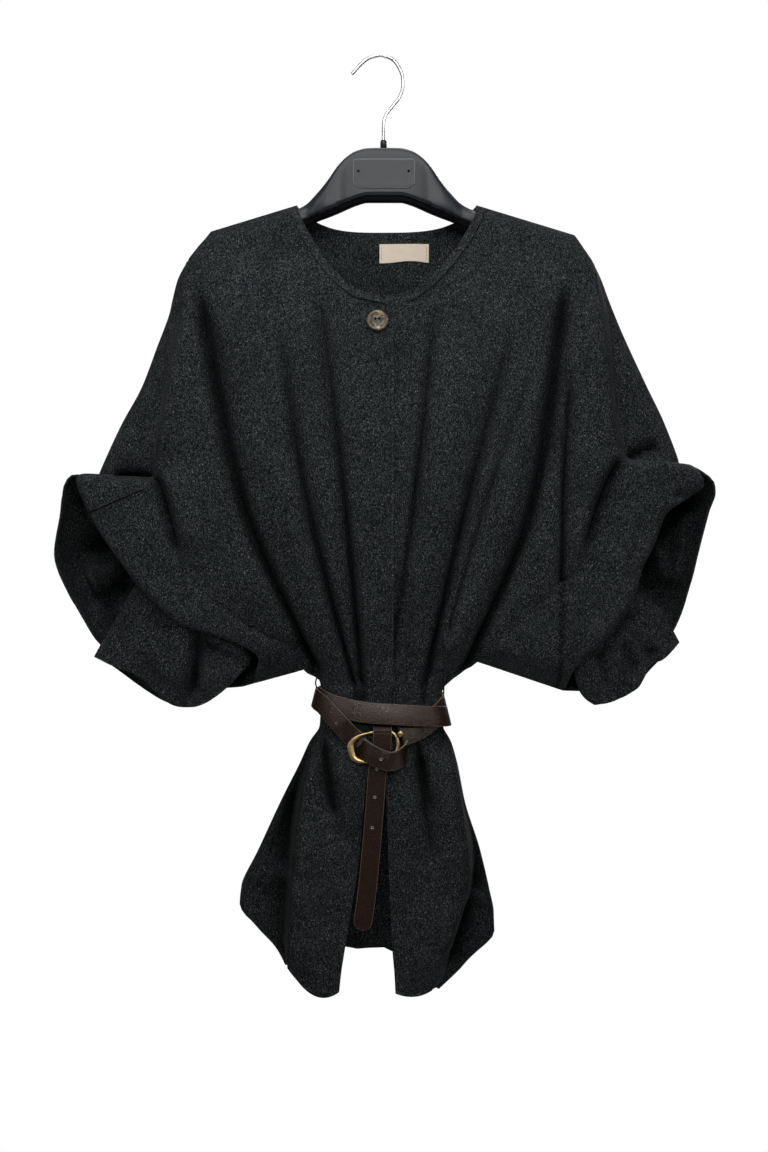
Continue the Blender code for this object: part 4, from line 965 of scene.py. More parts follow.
# %% [markdown]
# A panel is a grid of rows across and columns down, in two layers: the body, and the sleeve or the skirt's side.
# It gets its wall and a softly rounded cut edge. Front and back meet in a seam, and part at the arm openings. The
# real panels are single layers of felted wool, about two millimetres thick. A wall that is moved out from the middle
# surface by half on each side keeps that thickness in every fold.

# %% The grids and the wall
STRAIGHT_FROM = (4, 5)  # from this section on, over so many, the back's rows straighten out
LAYER_STEP = 14.0  # longest way in which an outer layer leaves the body
SHOULDER_LOW = -240  # below this level an outer layer no longer rolls over the shoulder
EDGE_ROUND = 0.3  # share of a wall that is rounded off at its cut edges
DRAWN_UP, DRAWN_UP_ROWS = 40, 1.5  # near the shoulder's end: from this far off, and over so many sections


def neck_columns(columns):
    """Columns of a back panel from its middle out to the neck point."""
    return max(3, round(columns * NECK_FRACTION))


def body_grid(half, sign, columns):
    """Rows of points of one half panel, from its centre out to its border."""
    rows, depths = half.rows, half.depths
    if sign < 0:
        start_w, start_z = rows["front_w"], rows["front_z"]
        share = np.linspace(0, 1, columns + 1)
    else:
        start_w, start_z = 0 * rows["front_w"], depths["back_z"]
        inner = neck_columns(columns)
        share = np.concatenate([
            np.linspace(0, NECK_FRACTION, inner + 1)[:-1],
            np.linspace(NECK_FRACTION, 1, columns - inner + 1),
        ])
    w = start_w[:, None] + (rows["border_w"] - start_w)[:, None] * share
    z = start_z[:, None] + (rows["border_z"] - start_z)[:, None] * share
    if sign > 0:
        # The top row follows the neck and the shoulder; lower rows straighten out.
        rise = (NECK_Z - NECK_BACK_Z) * np.clip(w / half.neck_w, 0, 1) ** NECK_CURVE
        top = np.where(w <= half.neck_w, NECK_BACK_Z + rise, half.shoulder_z(w))
        line = NECK_BACK_Z + (rows["border_z"][0] - NECK_BACK_Z) * share
        z = z + (top - line) * (1 - above(half.places, *STRAIGHT_FROM))[:, None]
        # At the shoulder's end the border is drawn up to the front's, so the seam closes there.
        near = smooth(1 - (rows["border_w"][:, None] - w) / DRAWN_UP)
        near = near * (1 - above(half.places, SLEEVE_START, DRAWN_UP_ROWS))[:, None]
        z = z + (rows["border_z"][:, None] - z[:, -1:]) * near
    hem = above(half.places, *HEM_ROWS)[:, None] * 4 * share * (1 - share)
    z = z - hem * (half.hem_sag if sign < 0 else BACK_HEM_SAG)
    y = body_y(half, w, z, sign)
    # The seam over the hanger is one straight line, on which both panels end.
    run = (w[0] - rows["front_w"][0]) / (rows["border_w"][0] - rows["front_w"][0])
    seam = rows["front_z"][0] + (rows["border_z"][0] - rows["front_z"][0]) * run
    y[0], z[0] = np.where(run >= 0, 0.0, y[0]), np.where(run >= 0, seam, z[0])
    return np.stack([half.side * w, y, z], axis=-1)


def outer_grid(half, sign, border, columns, first, last):
    """Rows of the sleeve's or the skirt side's layer, from the body's border out to the edge."""
    here = (half.places >= first) & (half.places <= last)
    rows = {name: values[here] for name, values in half.rows.items()}
    depths = {name: values[here] for name, values in half.depths.items()}
    end, layer, seam, radius = (
        ("edge", "outer", "edge", "roll") if sign < 0 else ("rim", "back_outer", "rim", "bowl")
    )
    edge_w, edge_z = rows[end + "_w"], rows[end + "_z"]
    start = border[here]
    start_w, start_z = half.side * start[:, 0], start[:, 2]
    width = np.maximum(edge_w - start_w, 1e-6)
    # Columns lie closer at the border and at the edge, where the cloth bends most.
    share = np.linspace(0, 1, columns + 1) ** 0.8
    share = 1 - (1 - share) ** 1.35
    w = start_w[:, None] + width[:, None] * share
    z = start_z[:, None] + (edge_z - start_z)[:, None] * share
    # The sleeve leaves the body from its flat part, the skirt's side from the border itself.
    flat = start[:, 1] if first == WAIST_ROWS[1] else flat_y(half, start_w, start_z, sign)
    inward = smooth((w - start_w[:, None]) / np.minimum(LAYER_STEP, width * 0.7)[:, None])
    y = flat[:, None] + (depths[layer] - flat)[:, None] * inward
    seam_y = depths[seam][:, None]
    out = roll((edge_w[:, None] - w) / depths[radius][:, None])
    top = roll((half.shoulder_z(w) - z) / SHOULDER_ROUND)
    y = seam_y + (y - seam_y) * np.minimum(out, np.where(z > SHOULDER_LOW, top, 1))
    points = np.stack([half.side * w, y, z], axis=-1)
    points[:, 0] = start
    return points, here


class Sheet:
    """A cloth surface gathered from grids that share their borders, then given its wall."""

    def __init__(self):
        self.points = []
        self.index = {}
        self.faces = []
        self.sewn = set()

    def vertex(self, point, sewn):
        key = tuple(np.round(point, 2))
        if key not in self.index:
            self.index[key] = len(self.points)
            self.points.append(np.asarray(point, float))
        if sewn:
            self.sewn.add(self.index[key])
        return self.index[key]

    def add(self, grid, sewn=None):
        rows, columns = grid.shape[:2]
        ids = [
            [self.vertex(grid[i, j], sewn is not None and sewn[i, j]) for j in range(columns)]
            for i in range(rows)
        ]
        for i in range(rows - 1):
            for j in range(columns - 1):
                ring = [ids[i][j], ids[i][j + 1], ids[i + 1][j + 1], ids[i + 1][j]]
                ring = [v for k, v in enumerate(ring) if v != ring[k - 1]]
                if len(set(ring)) == len(ring) and len(ring) > 2:
                    self.faces.append(ring)

    def lift(self, towards, distance):
        """Moves the surface out along its own normals, on the side given."""
        mesh = bpy.data.meshes.new("lifted")
        mesh.from_pydata([Vector(p) for p in self.points], [], self.faces)
        for i, vertex in enumerate(mesh.vertices):
            normal = vertex.normal if vertex.normal.dot(towards) > 0 else -vertex.normal
            self.points[i] = self.points[i] + np.array(normal) * distance
        bpy.data.meshes.remove(mesh)

    def area(self):
        """Area of the middle surface, in square metres."""
        points = np.array(self.points) * MM
        total = 0.0
        for ring in self.faces:
            for k in range(1, len(ring) - 1):
                a, b, c = points[ring[0]], points[ring[k]], points[ring[k + 1]]
                total += np.linalg.norm(np.cross(b - a, c - a)) / 2
        return float(total)

    def wall(self, name, thickness, material, nodes):
        """The piece: the surface moved half a wall out each way, its rim closed and its edges rounded."""
        mesh = bpy.data.meshes.new(name)
        mesh.from_pydata([Vector(p) for p in self.points], [], self.faces)
        bm = bmesh.new()
        bm.from_mesh(mesh)
        bmesh.ops.recalc_face_normals(bm, faces=bm.faces)
        bm.normal_update()
        normals = []
        for vertex in bm.verts:
            normal = vertex.normal.copy()
            if vertex.index in self.sewn:
                normal.y = 0
            normals.append(normal.normalized() * thickness / 2)
        outer = [bm.verts.new(v.co + n) for v, n in zip(list(bm.verts), normals)]
        bm.verts.ensure_lookup_table()
        for i, normal in enumerate(normals):
            bm.verts[i].co -= normal
        old_faces = list(bm.faces)
        rims = []
        for edge in [edge for edge in bm.edges if edge.is_boundary]:
            loop = edge.link_loops[0]
            rims.append((loop.vert.index, loop.link_loop_next.vert.index))
        for face in old_faces:
            bm.faces.new([outer[v.index] for v in face.verts])
            face.normal_flip()
        corners = set()
        for a, b in rims:
            bm.faces.new([bm.verts[a], bm.verts[b], outer[b], outer[a]])
            corners.add(bm.edges.get((bm.verts[a], bm.verts[b])))
            corners.add(bm.edges.get((outer[a], outer[b])))
        bmesh.ops.bevel(
            bm, geom=list(corners), offset=thickness * EDGE_ROUND, segments=2, affect="EDGES", profile=0.5,
            clamp_overlap=True,
        )
        bmesh.ops.recalc_face_normals(bm, faces=bm.faces)
        if bm.calc_volume(signed=True) < 0:
            bmesh.ops.reverse_faces(bm, faces=bm.faces)
        shift = Vector(HOOK_INSIDE_TOP)
        for vertex in bm.verts:
            vertex.co = (vertex.co - shift) * MM
        bm.to_mesh(mesh)
        bm.free()
        for polygon in mesh.polygons:
            polygon.use_smooth = True
        return dress(name, mesh, material, nodes)


print("grid tools ready")

# %% [markdown]
# The three panels are the garment itself: a back in one piece and two fronts, of which the right one laps over the
# left. The real ones are sewn together at the shoulders and the sides and stay open at the arms, and here their edges
# meet in the same places with a fine gap. Each stands in the place of its solid. Their points also store how deep
# they lie in a trough, and the wool is painted darker there, as shade.

# %% Fronts and back
TUCK_BEND = (12.5, 16)  # sections between which the seam turns round in the tuck
TUCK_APART = 6  # how much wider the seam's gap is there


def sewn_mask(grid_shape, seam_rows, top_from=None):
    """Marks the last column on the given rows, and the first row from a column on."""
    mask = np.zeros(grid_shape[:2], bool)
    mask[seam_rows, -1] = True
    if top_from is not None:
        mask[0, top_from:] = True
    return mask


def half_blocks(sheet, half, sign, name):
    """Adds one half panel: its body, its sleeve and its skirt side."""
    body = body_grid(half, sign, BODY_COLUMNS)
    places = half.places
    # The sides are sewn at the waist. Near the shoulder's end the border is the outer edge itself.
    border_sewn = (places >= WAIST_ROWS[0]) & (places <= WAIST_ROWS[1]) | (places <= SLEEVE_START)
    inner = neck_columns(BODY_COLUMNS) if sign > 0 else 0
    in_tuck = (places > TUCK_BEND[0]) & (places < TUCK_BEND[1])
    apart = sign * GAP / 2 * (1 + TUCK_APART * in_tuck)
    border = body[:, -1].copy()
    grids = [(body, sewn_mask(body.shape, border_sewn, inner), places > -1)]
    for first, last in ((SLEEVE_START, WAIST_ROWS[0]), (WAIST_ROWS[1], SECTIONS - 1)):
        grid, here = outer_grid(half, sign, border, SLEEVE_COLUMNS, first, last)
        mask = sewn_mask(grid.shape, half.depths["seam"][here] > 0.99, 0)
        if first == SLEEVE_START:
            mask[-1, :] = True
        grids.append((grid, mask, here))
    for grid, mask, here in grids:
        moved = grid.copy()
        free = half.depths["seam"][here] < 0.5
        moved[..., 1] += sign * relief(name, half, grid, free[:, None])
        moved[..., 1] += np.where(mask, apart[here][:, None], 0)
        sheet.add(moved, mask)


def wool_piece(name, sheet):
    """The sheet as wool, which remembers the area it takes."""
    made[name] = sheet.wall("wool_" + name, CLOTH, WOOL, (name,))
    made[name]["flat_area"] = sheet.area()


def paint_trough_shade(name):
    """Stores on each point how deep it lies in a trough; the wool is painted darker there, as shade."""
    mesh = made[name].data
    points = np.empty(len(mesh.vertices) * 3)
    mesh.vertices.foreach_get("co", points)
    x, _, z = (points.reshape(-1, 3) / MM + HOOK_INSIDE_TOP).T
    marks = mesh.attributes.new("painted_trough_shade", "FLOAT", "POINT")
    marks.data.foreach_set("value", painted_trough_shade(name, x, z).astype(np.float32))


places = section_steps(ROW_STEP)
right, left = Half(-1, RIGHT_CUT, RIGHT_FOLDS, places), Half(1, LEFT_CUT, LEFT_FOLDS, places)
left.over = right
made = {}
trees = {}  # for each panel, a tree that gives the depth of its middle surface at a place
for name, halves, sign in (("front_right", (right,), -1), ("front_left", (left,), -1), ("back", (right, left), 1)):
    sheet = Sheet()
    for half in halves:
        half_blocks(sheet, half, sign, name)
    wool_piece(name, sheet)
    paint_trough_shade(name)
    trees[name] = BVHTree.FromPolygons([Vector(p) for p in sheet.points], sheet.faces)
    print(name, len(made[name].data.polygons), "faces", round(sheet.area(), 3), "m2")

# %% [markdown]
# A narrow band of the same wool is stitched round the neckline, and two rows of stitching hold the front edge. On the
# real garment the band is a folded strip, top-stitched by machine. Each stitch is its own short thread laid on the
# cloth, because a row of separate threads catches the light as real stitching does.

# %% Neck bands and stitches
BAND_WIDTH = 9.0
BAND = 1.0
BAND_LIFT = CLOTH / 2 + BAND / 2 + 0.2
BAND_FLARE = 1.1  # how much further its outer edge stands off
BAND_STEPS = (0.02, 0.12, 0.3, 0.5, 0.7, 0.88, 1.0)
BAND_START, BAND_END = 2.3, 8.9  # sections of the cut: from just in front of the shoulder seam
BAND_POINTS = 60
BAND_BACK_END = 1.9
BAND_SEAM = 0.86  # share of the band's width at which its stitches run, and of the back neck that it takes
LEFT_BAND_FROM = 16  # the left band ends here, where the right front covers it
NECK_CENTRE = (0.0, -200.0)
STITCH = {"long": 2.4, "gap": 1.5, "thick": 0.28, "first": 0.5}
FRONT_EDGE_X = 10.0
FRONT_STITCHES = (3.2, 9.0)  # how far in the two rows run
FRONT_STITCH_LEVELS = (-279, -668, 160)


def depth_on(tree, x, z):
    """Depth of a panel seen from the front at a place, or None beside it."""
    hit = tree.ray_cast(Vector((x, -300, z)), Vector((0, 1, 0)))[0]
    return None if hit is None else hit.y


def surface(tree, x, z, facing):
    """Depth and outward normal of a panel at a place, looked at from its outside."""
    start = Vector((x, facing * 300, z))
    hit, normal, _, _ = tree.ray_cast(start, Vector((0, -facing, 0)))
    if hit is None:
        # Just beside the panel: its nearest point.
        hit, normal, _, _ = tree.find_nearest(Vector((x, facing * 30, z)))
    if normal.y * facing < 0:
        normal = -normal
    return hit.y, normal


def over_surface(tree, x, z, facing, lift):
    """A place this far outside a panel, and the panel's direction there."""
    y, tilt = surface(tree, x, z, facing)
    return (x + tilt.x * lift, y + tilt.y * lift, z + tilt.z * lift), tuple(tilt)


def offsets_from(line, centre):
    """Unit vectors across a line, away from a centre."""
    line = np.asarray(line, float)
    along = np.gradient(line, axis=0)
    across = np.stack([along[:, 1], -along[:, 0]], axis=1)
    across /= np.linalg.norm(across, axis=1)[:, None]
    outward = ((line - centre) * across).sum(axis=1)
    return across * np.where(outward < 0, -1, 1)[:, None]


def neck_band(name, tree, line, away, facing):
    sheet = Sheet()
    sheet.add(np.array([[
        over_surface(
            tree, x + dx * BAND_WIDTH * share, z + dz * BAND_WIDTH * share, facing, BAND_LIFT + BAND_FLARE * share**3,
        )[0] for share in BAND_STEPS
    ] for (x, z), (dx, dz) in zip(line, away)]))
    return sheet.wall("wool_" + name, BAND, WOOL, (name,))


def stitches(name, points, normals):
    """Short threads along a line that lies on the cloth."""
    points, normals = np.asarray(points, float), np.asarray(normals, float)
    run = run_along(points)
    bm = bmesh.new()
    at = STITCH["first"]
    while at + STITCH["long"] < run[-1]:
        rings = []
        for t in (0, 0.25, 0.5, 0.75, 1):
            place = at + STITCH["long"] * t
            centre = place_on(points, run, place)
            normal = unit(place_on(normals, run, place))
            ahead = place_on(points, run, place + 0.3) - centre
            ahead = unit(ahead) if np.linalg.norm(ahead) > 1e-6 else np.array([0, 0, 1.0])
            across = np.cross(normal, ahead)
            high = STITCH["thick"] * (0.2 + 0.9 * math.sin(math.pi * t))
            rings.append([
                bm.verts.new(Vector(to_world(centre + normal * (high * up) + across * STITCH["thick"] * aside)))
                for up, aside in ((-1, -0.8), (0.7, -0.5), (0.7, 0.5), (-1, 0.8))
            ])
        skin(bm, rings)
        at += STITCH["long"] + STITCH["gap"]
    return dress(name, mesh_of(name, bm), THREAD_AND_SEAM_SHADE, ())


def on_surface(tree, line, facing, lift):
    """Points and directions of a line laid over a panel."""
    return zip(*(over_surface(tree, x, z, facing, lift) for x, z in line))


def make_front_bands():
    for name, half in (("right", right), ("left", left)):
        sections = np.linspace(BAND_START, BAND_END, BAND_POINTS)
        edge = between_rows(half.cut, sections)
        w, z = edge["front_w"], edge["front_z"]
        if name == "left":
            w, z = w[w > LEFT_BAND_FROM], z[w > LEFT_BAND_FROM]
        line = np.stack([half.side * w, z], axis=1)
        away = offsets_from(line, NECK_CENTRE)
        panel = trees["front_" + name]
        neck_band("neck_band_" + name, panel, line, away, -1)
        seam = line + away * BAND_WIDTH * BAND_SEAM
        # The dark thread of these stitches also paints the shade in the groove of the band's seam.
        stitches("neck_stitches_" + name, *on_surface(panel, seam, -1, CLOTH / 2 + BAND))


def make_back_band():
    """The band inside the back neck follows the panel's own rows."""
    strips = []
    rows_down = int(np.searchsorted(right.places, BAND_BACK_END)) + 1
    for half in (right, left):
        grid = body_grid(half, 1, BODY_COLUMNS)[:rows_down, : int(neck_columns(BODY_COLUMNS) * BAND_SEAM)]
        strips.append(grid[:, ::-1] if half.side < 0 else grid[:, 1:])
    sheet = Sheet()
    sheet.add(np.concatenate(strips, axis=1))
    sheet.lift(Vector((0, 1, 0)), BAND_LIFT)
    sheet.wall("wool_neck_band_back", BAND, WOOL, ("neck_band_back",))


make_front_bands()
make_back_band()
for index, inset in enumerate(FRONT_STITCHES):
    edge_line = [(FRONT_EDGE_X - inset, level) for level in np.linspace(*FRONT_STITCH_LEVELS)]
    stitches(f"front_stitches_{index}", *on_surface(trees["front_right"], edge_line, -1, CLOTH / 2))
print("bands and stitches ready")

# %% [markdown]
# The sleeve ends hang out of the arm openings as soft, flattened tubes with a few pleats. The real ones are the ends
# of the sleeves, gathered a little and hanging open, with the dark inside to be seen under the front of the hem.
# Rings are stacked from inside the opening down to the hem, so the tube stays open and its walls keep apart.

# %% Sleeve ends
# Rings of the sleeve ends, from inside the arm opening to the hem: the ring's outer and inner end, how far it
# sags between them, and the depth of its front and back walls.
CUFF = ("outer_w", "outer_z", "inner_w", "inner_z", "sag", "front", "back")
RIGHT_CUFF = table(
    CUFF,
    (256, -562, 166, -606, 0, -44, -22),
    (276, -590, 154, -634, 10, -38, -12),
    (291, -616, 148, -648, 22, -35, -9),
    (304, -638, 145, -656, 36, -33, -8),
    (314, -656, 147, -664, 50, -32, -8),
)
LEFT_CUFF = table(
    CUFF,
    (252, -575, 203, -632, 0, -44, -22),
    (280, -590, 207, -672, 5, -36, -12),
    (298, -604, 213, -692, 8, -33, -10),
    (309, -620, 220, -701, 10, -31, -9),
    (320, -640, 229, -707, 14, -31, -9),
)
# Pleats of the cuffs: place from the outer end, depth and half width as a share of the ring.
CUFF_PLEATS = {
    "cuff_right": ((0.34, 4, 0.05), (0.60, 11, 0.055), (0.76, 5, 0.04), (0.88, 4, 0.04)),
    "cuff_left": ((0.30, 7, 0.06), (0.52, -6, 0.05), (0.72, 4, 0.05)),
}
CUFF_SEAT = {"cuff_right": 0.6, "cuff_left": 1.6}  # more than the gap, for the flats between points
# The front of each hem rises here and shows the dark inside: place from the outer end, height and half width.
HEM_RISE = {"cuff_right": (0.30, 13, 0.16), "cuff_left": (0.34, 9, 0.10)}
CUFF_RING, CUFF_ROWS = 128, 10
CUFF_SQUARE = 0.6  # below 1 the tube's section is flatter than an oval
CUFF_SAG = 1.25  # above 1 the lowest place lies nearer to the inner end
PLEAT_BEHIND = 0.35  # share of a pleat that shows in the back wall


def hump(share, at, high, wide):
    return high * np.exp(-(((share - at) / wide) ** 2))


def cuff_rings(name, side, sections, tree):
    """Points of an open, flattened sleeve end; its first ring is seated on the front's inside."""
    last = len(sections["sag"]) - 1
    places = np.linspace(0, last, last * CUFF_ROWS + 1)
    cuff = between_rows(sections, places)
    angle = np.linspace(0, 2 * np.pi, CUFF_RING, endpoint=False)
    share = (1 - np.cos(angle)) / 2
    in_front = np.sin(angle) >= 0
    rings = []
    for i, place in enumerate(places):
        ring = {key: values[i] for key, values in cuff.items()}
        w = ring["outer_w"] + (ring["inner_w"] - ring["outer_w"]) * share
        z = ring["outer_z"] + (ring["inner_z"] - ring["outer_z"]) * share
        z = z - ring["sag"] * np.sin(np.pi * share**CUFF_SAG)
        middle, half_depth = (ring["front"] + ring["back"]) / 2, (ring["back"] - ring["front"]) / 2
        y = middle - half_depth * np.sign(np.sin(angle)) * abs(np.sin(angle)) ** CUFF_SQUARE
        grown = smooth(place / last)
        for at, deep, wide in CUFF_PLEATS[name]:
            pleat = hump(share, at, deep, wide) * grown
            y = y + np.where(in_front, pleat, PLEAT_BEHIND * pleat * np.clip(-np.sin(angle), 0, 1))
        y = y - np.where(in_front, crease_heights(CREASES[name], side * w, z), 0) * grown
        z = z + np.where(in_front, hump(share, *HEM_RISE[name]) * grown**3, 0)
        for j in range(CUFF_RING):
            hit = depth_on(tree, side * w[j], z[j])
            if hit is not None:
                y[j] = max(y[j], hit + CLOTH + GAP + CUFF_SEAT[name])
        rings.append(np.stack([side * w, y, z], axis=1))
    rings = np.array(rings)
    return np.concatenate([rings, rings[:, :1]], axis=1)


for name, side, sections in (("cuff_right", -1, RIGHT_CUFF), ("cuff_left", 1, LEFT_CUFF)):
    sheet = Sheet()
    sheet.add(cuff_rings(name, side, sections, trees[name.replace("cuff", "front")]))
    wool_piece(name, sheet)
    paint_trough_shade(name)
print("sleeve ends ready")

# %% [markdown]
# The belt is one leather strap wound twice round the waist and knotted at the buckle. It is built as the four
# stretches that show, each a flat strap with rounded, paler cut edges and punched holes. A real strap is cut from
# one hide and its edges stay raw. Each stretch is a section swept along a line, with the way it faces given point by
# point, because only so can a strap lean, wrap and twist as leather does.

# %% Belt
FIRST_TURN = 3.0  # middle of the leather outside the cloth's middle
SECOND_TURN = 6.3
# Height of the belt's middle round the waist, by the angle from the viewer's right, counted over two turns.
BELT_HEIGHT = (
    (-80, -740), (-62, -733), (-30, -716), (0, -706), (90, -701), (180, -698), (225, -706), (270, -714),
    (360, -719), (450, -712), (540, -699), (600, -714),
)
BELT_STEP = 3
# The lower strap comes round the left side, goes behind the buckle's bar and turns back up as the knot's loop.
STRAP_LINE = (
    (-45, -53.0, -727), (-36, -52.1, -737), (-29, -52.6, -743), (-24.5, -55.6, -750.2), (-20, -62.6, -751.4),
    (-12.5, -66.7, -756), (-3, -67.4, -760.5), (6, -67.4, -763), (13.5, -66.6, -761.5), (19.5, -64.0, -757),
    (22.5, -59.5, -752), (22.5, -55.5, -748.5),
)
STRAP_WIDTH = 20.5
STRAP_FACES = (
    (-0.35, -1, 0.1), (-0.2, -1, 0.12), (-0.1, -1, 0.12), (-0.45, -0.9, 0.1), (-0.6, -0.8, 0),
    (-0.3, -0.95, 0), (0, -1, 0), (0.1, -1, -0.1), (0.25, -0.93, -0.25), (0.55, -0.75, -0.35),
    (0.9, -0.35, -0.35), (1.0, 0.0, -0.3),
)
TAIL_LINE = (
    (-1.5, -50.5, -714), (-1.5, -50.5, -726), (-1.5, -56.8, -729), (-1.5, -60.9, -733.5), (-2, -62.0, -744),
    (-4, -62.9, -760), (-7, -63.2, -774), (-9, -65.3, -800), (-13, -69.5, -850), (-18, -73.5, -900),
    (-23.5, -76.5, -939),
)
TAIL_WIDTH = 19.5
TAIL_TIP = 9.0
ROUND = 0.55  # of the strap's long edges
FACE_SIDES = (3, 11)  # sides of a strap's ring that are its faces; the others are cut edges
FINE = 8
# The drawn-in cloth makes the waist a cone, so the belt leans: its top edge in and its bottom edge out.
LEAN = np.array((0, 0, 0.24))
LEAN_OUT = 1.5
# The punched holes: place across and down.
HOLES = ((-50.3, -724.2), (-3.2, -760.5), (-7.4, -771.5), (-9.7, -800.6), (-12.4, -832.4))


def waist_point(degrees, off):
    """A place in the belt's middle height, this far outside the middle of the cloth at the waist."""
    cos, sin = squarish(math.radians(degrees), 2 / WAIST["square"])
    x, y = WAIST["x"] + (WAIST["wide"] + off) * cos, WAIST["y"] + (WAIST["deep"] + off) * sin
    return x, y, float(glide(*zip(*BELT_HEIGHT), degrees))


def turn(first, last, offs):
    """Centre line of a stretch of the wound belt, with points a step apart."""
    degrees = np.arange(first, last + 0.5, 1.0)
    points = np.array([waist_point(d, off) for d, off in zip(degrees, np.interp(degrees, *zip(*offs)))])
    run = run_along(points)
    return place_on(points, run, np.linspace(0, run[-1], max(2, round(run[-1] / BELT_STEP) + 1)))


def turn_faces(points):
    """Directions straight out of the waist's ring."""
    along = np.gradient(points, axis=0)
    faces = np.stack([along[:, 1], -along[:, 0], 0 * along[:, 2]], axis=1)
    return unit(faces)


def turned(name, outline, place, tilt, material, nodes, steps=64):
    """A profile of (radius, height) turned about its own axis."""
    mesh = bpy.data.meshes.new(name)
    points = [(r * MM, 0, h * MM) for r, h in outline]
    mesh.from_pydata(points, [(i, i + 1) for i in range(len(points) - 1)], [])
    obj = bare(name, mesh, material, Vector(to_world(place)), tilt)
    screw = obj.modifiers.new("turn", "SCREW")
    screw.steps = screw.render_steps = steps
    screw.use_merge_vertices = True
    screw.merge_threshold = 1e-6
    screw.use_normal_calculate = True
    screw.use_smooth_shade = True
    keep(obj, nodes)
    return obj


def strap(name, centres, faces, width, material=LEATHER_FACE, tip=0.0):
    """A strap swept along its line. tip rounds its last end over this length."""
    centres = np.asarray(centres, float)
    along = unit(np.gradient(centres, axis=0))
    ups = unit(np.cross(faces, along))
    ups = ups * np.where(ups[:, 2] < 0, -1, 1)[:, None]
    out = np.cross(along, ups)
    out = out * np.where((out * np.asarray(faces)).sum(axis=1) < 0, -1, 1)[:, None]
    run = run_along(centres)
    bm = bmesh.new()
    rings = []
    for centre, up, normal, left_over in zip(centres, ups, out, run[-1] - run):
        wide = width
        if left_over < tip:
            wide = max(3.0, width * math.sqrt(max(0.0, 1 - (1 - left_over / tip) ** 2)))
        rings.append([
            bm.verts.new(Vector(to_world(centre + up * a + normal * b)))
            for a, b in rounded_outline(wide, LEATHER, ROUND, ROUND, 3)
        ])
    skin(bm, rings, 1, lambda ring, side: int(side not in FACE_SIDES))
    obj = dress("leather_" + name, mesh_of("leather_" + name, bm), material, ("belt_" + name,))
    obj.data.materials.append(LEATHER_EDGE)


def make_belt():
    first = turn(-76, 178.7, ((-76, FIRST_TURN), (180, FIRST_TURN)))
    second = turn(181.3, 538.7, ((180, FIRST_TURN), (235, FIRST_TURN), (285, SECOND_TURN), (540, SECOND_TURN)))
    for name, centres in (("first_turn", first), ("second_turn", second)):
        faces = turn_faces(centres)
        strap(name, centres + faces * LEAN_OUT, faces + LEAN, BELT_WIDTH)
    side = np.array([waist_point(d, SECOND_TURN) for d in (541.5, 550, 560, 570)])
    faces = turn_faces(side)
    line = curve_through(np.concatenate([side + faces * LEAN_OUT, STRAP_LINE]), FINE)
    strap("strap", line, curve_through(np.concatenate([faces + LEAN, STRAP_FACES]), FINE), STRAP_WIDTH)
    tail = curve_through(TAIL_LINE, FINE)
    strap("tail", tail, np.tile((0.0, -1.0, 0.0), (len(tail), 1)), TAIL_WIDTH, SHADED_TAIL_LEATHER, TAIL_TIP)


def make_holes():
    """Each hole is a dark disc of painted shade in a pale rim that is a painted glint."""
    leather = []
    for name in ("first_turn", "second_turn", "strap", "tail"):
        mesh = bpy.data.objects["leather_" + name].data
        corners = [v.co / MM + Vector(HOOK_INSIDE_TOP) for v in mesh.vertices]
        leather.append(BVHTree.FromPolygons(corners, [tuple(p.vertices) for p in mesh.polygons]))
    for index, (x, z) in enumerate(HOLES):
        hits = [tree.ray_cast(Vector((x, -300, z)), Vector((0, 1, 0))) for tree in leather]
        place, normal = min(((hit[0], hit[1]) for hit in hits if hit[0] is not None), key=lambda hit: hit[0].y)
        normal = normal if normal.y < 0 else -normal
        tilt = normal.to_track_quat("Z", "Y").to_euler()
        turned(f"hole_glint_{index}", ((0.8, 0.05), (1.15, 0.3), (1.6, 0.0)), place, tilt, HOLE_GLINT, (), 24)
        turned(f"hole_{index}", ((0.0, 0.04), (1.1, 0.06)), place, tilt, SHADE_PLASTIC, (), 24)


make_belt()
make_holes()
print("belt ready")

# %% [markdown]
# The buckle is a cast brass frame with soft edges; a small rivet closes the strap behind it. A cast frame has no
# sharp corner anywhere, so one squarish ring is swept between an outer and an inner outline. The rivet's head is a
# dome turned on a lathe, and here too it is one profile turned about its axis.

# %% Buckle and rivet
BUCKLE = {"place": (-11.0, -57.4, -748.3), "tilt": 12.0, "lean": 8.5, "thick": 2.4, "square": 2.8}
BUCKLE_OUTER = (28.0, 16.0, 0.0)  # half width, half height, shift
BUCKLE_INNER = (22.3, 13.7, 1.4)
BUCKLE_STEPS, BUCKLE_SIDES = 96, 12
SOFT_EDGE = 0.8
STUD = {"x": 17.5, "z": -735.0, "radius": 3.4, "foot": -52.2, "head": -58.5}


def make_buckle():
    bm = bmesh.new()
    rings = []
    for angle in circle(BUCKLE_STEPS):
        cos, sin = squarish(angle, 2 / BUCKLE["square"])
        (ox, oz), (ix, iz) = (
            (wide * cos + shift, high * sin) for wide, high, shift in (BUCKLE_OUTER, BUCKLE_INNER)
        )
        ring = []
        for around in circle(BUCKLE_SIDES):
            across, up = squarish(around, SOFT_EDGE)
            t = 0.5 + 0.5 * across
            place = (ix + (ox - ix) * t, iz + (oz - iz) * t, BUCKLE["thick"] / 2 * up)
            ring.append(bm.verts.new(Vector(place) * MM))
        rings.append(ring)
    skin(bm, rings + rings[:1], None)
    tilt = (math.radians(90 - BUCKLE["lean"]), math.radians(-BUCKLE["tilt"]), 0)
    obj = bare("brass_buckle", mesh_of("brass_buckle", bm), BRASS, Vector(to_world(BUCKLE["place"])), tilt)
    keep(obj, ("buckle",))


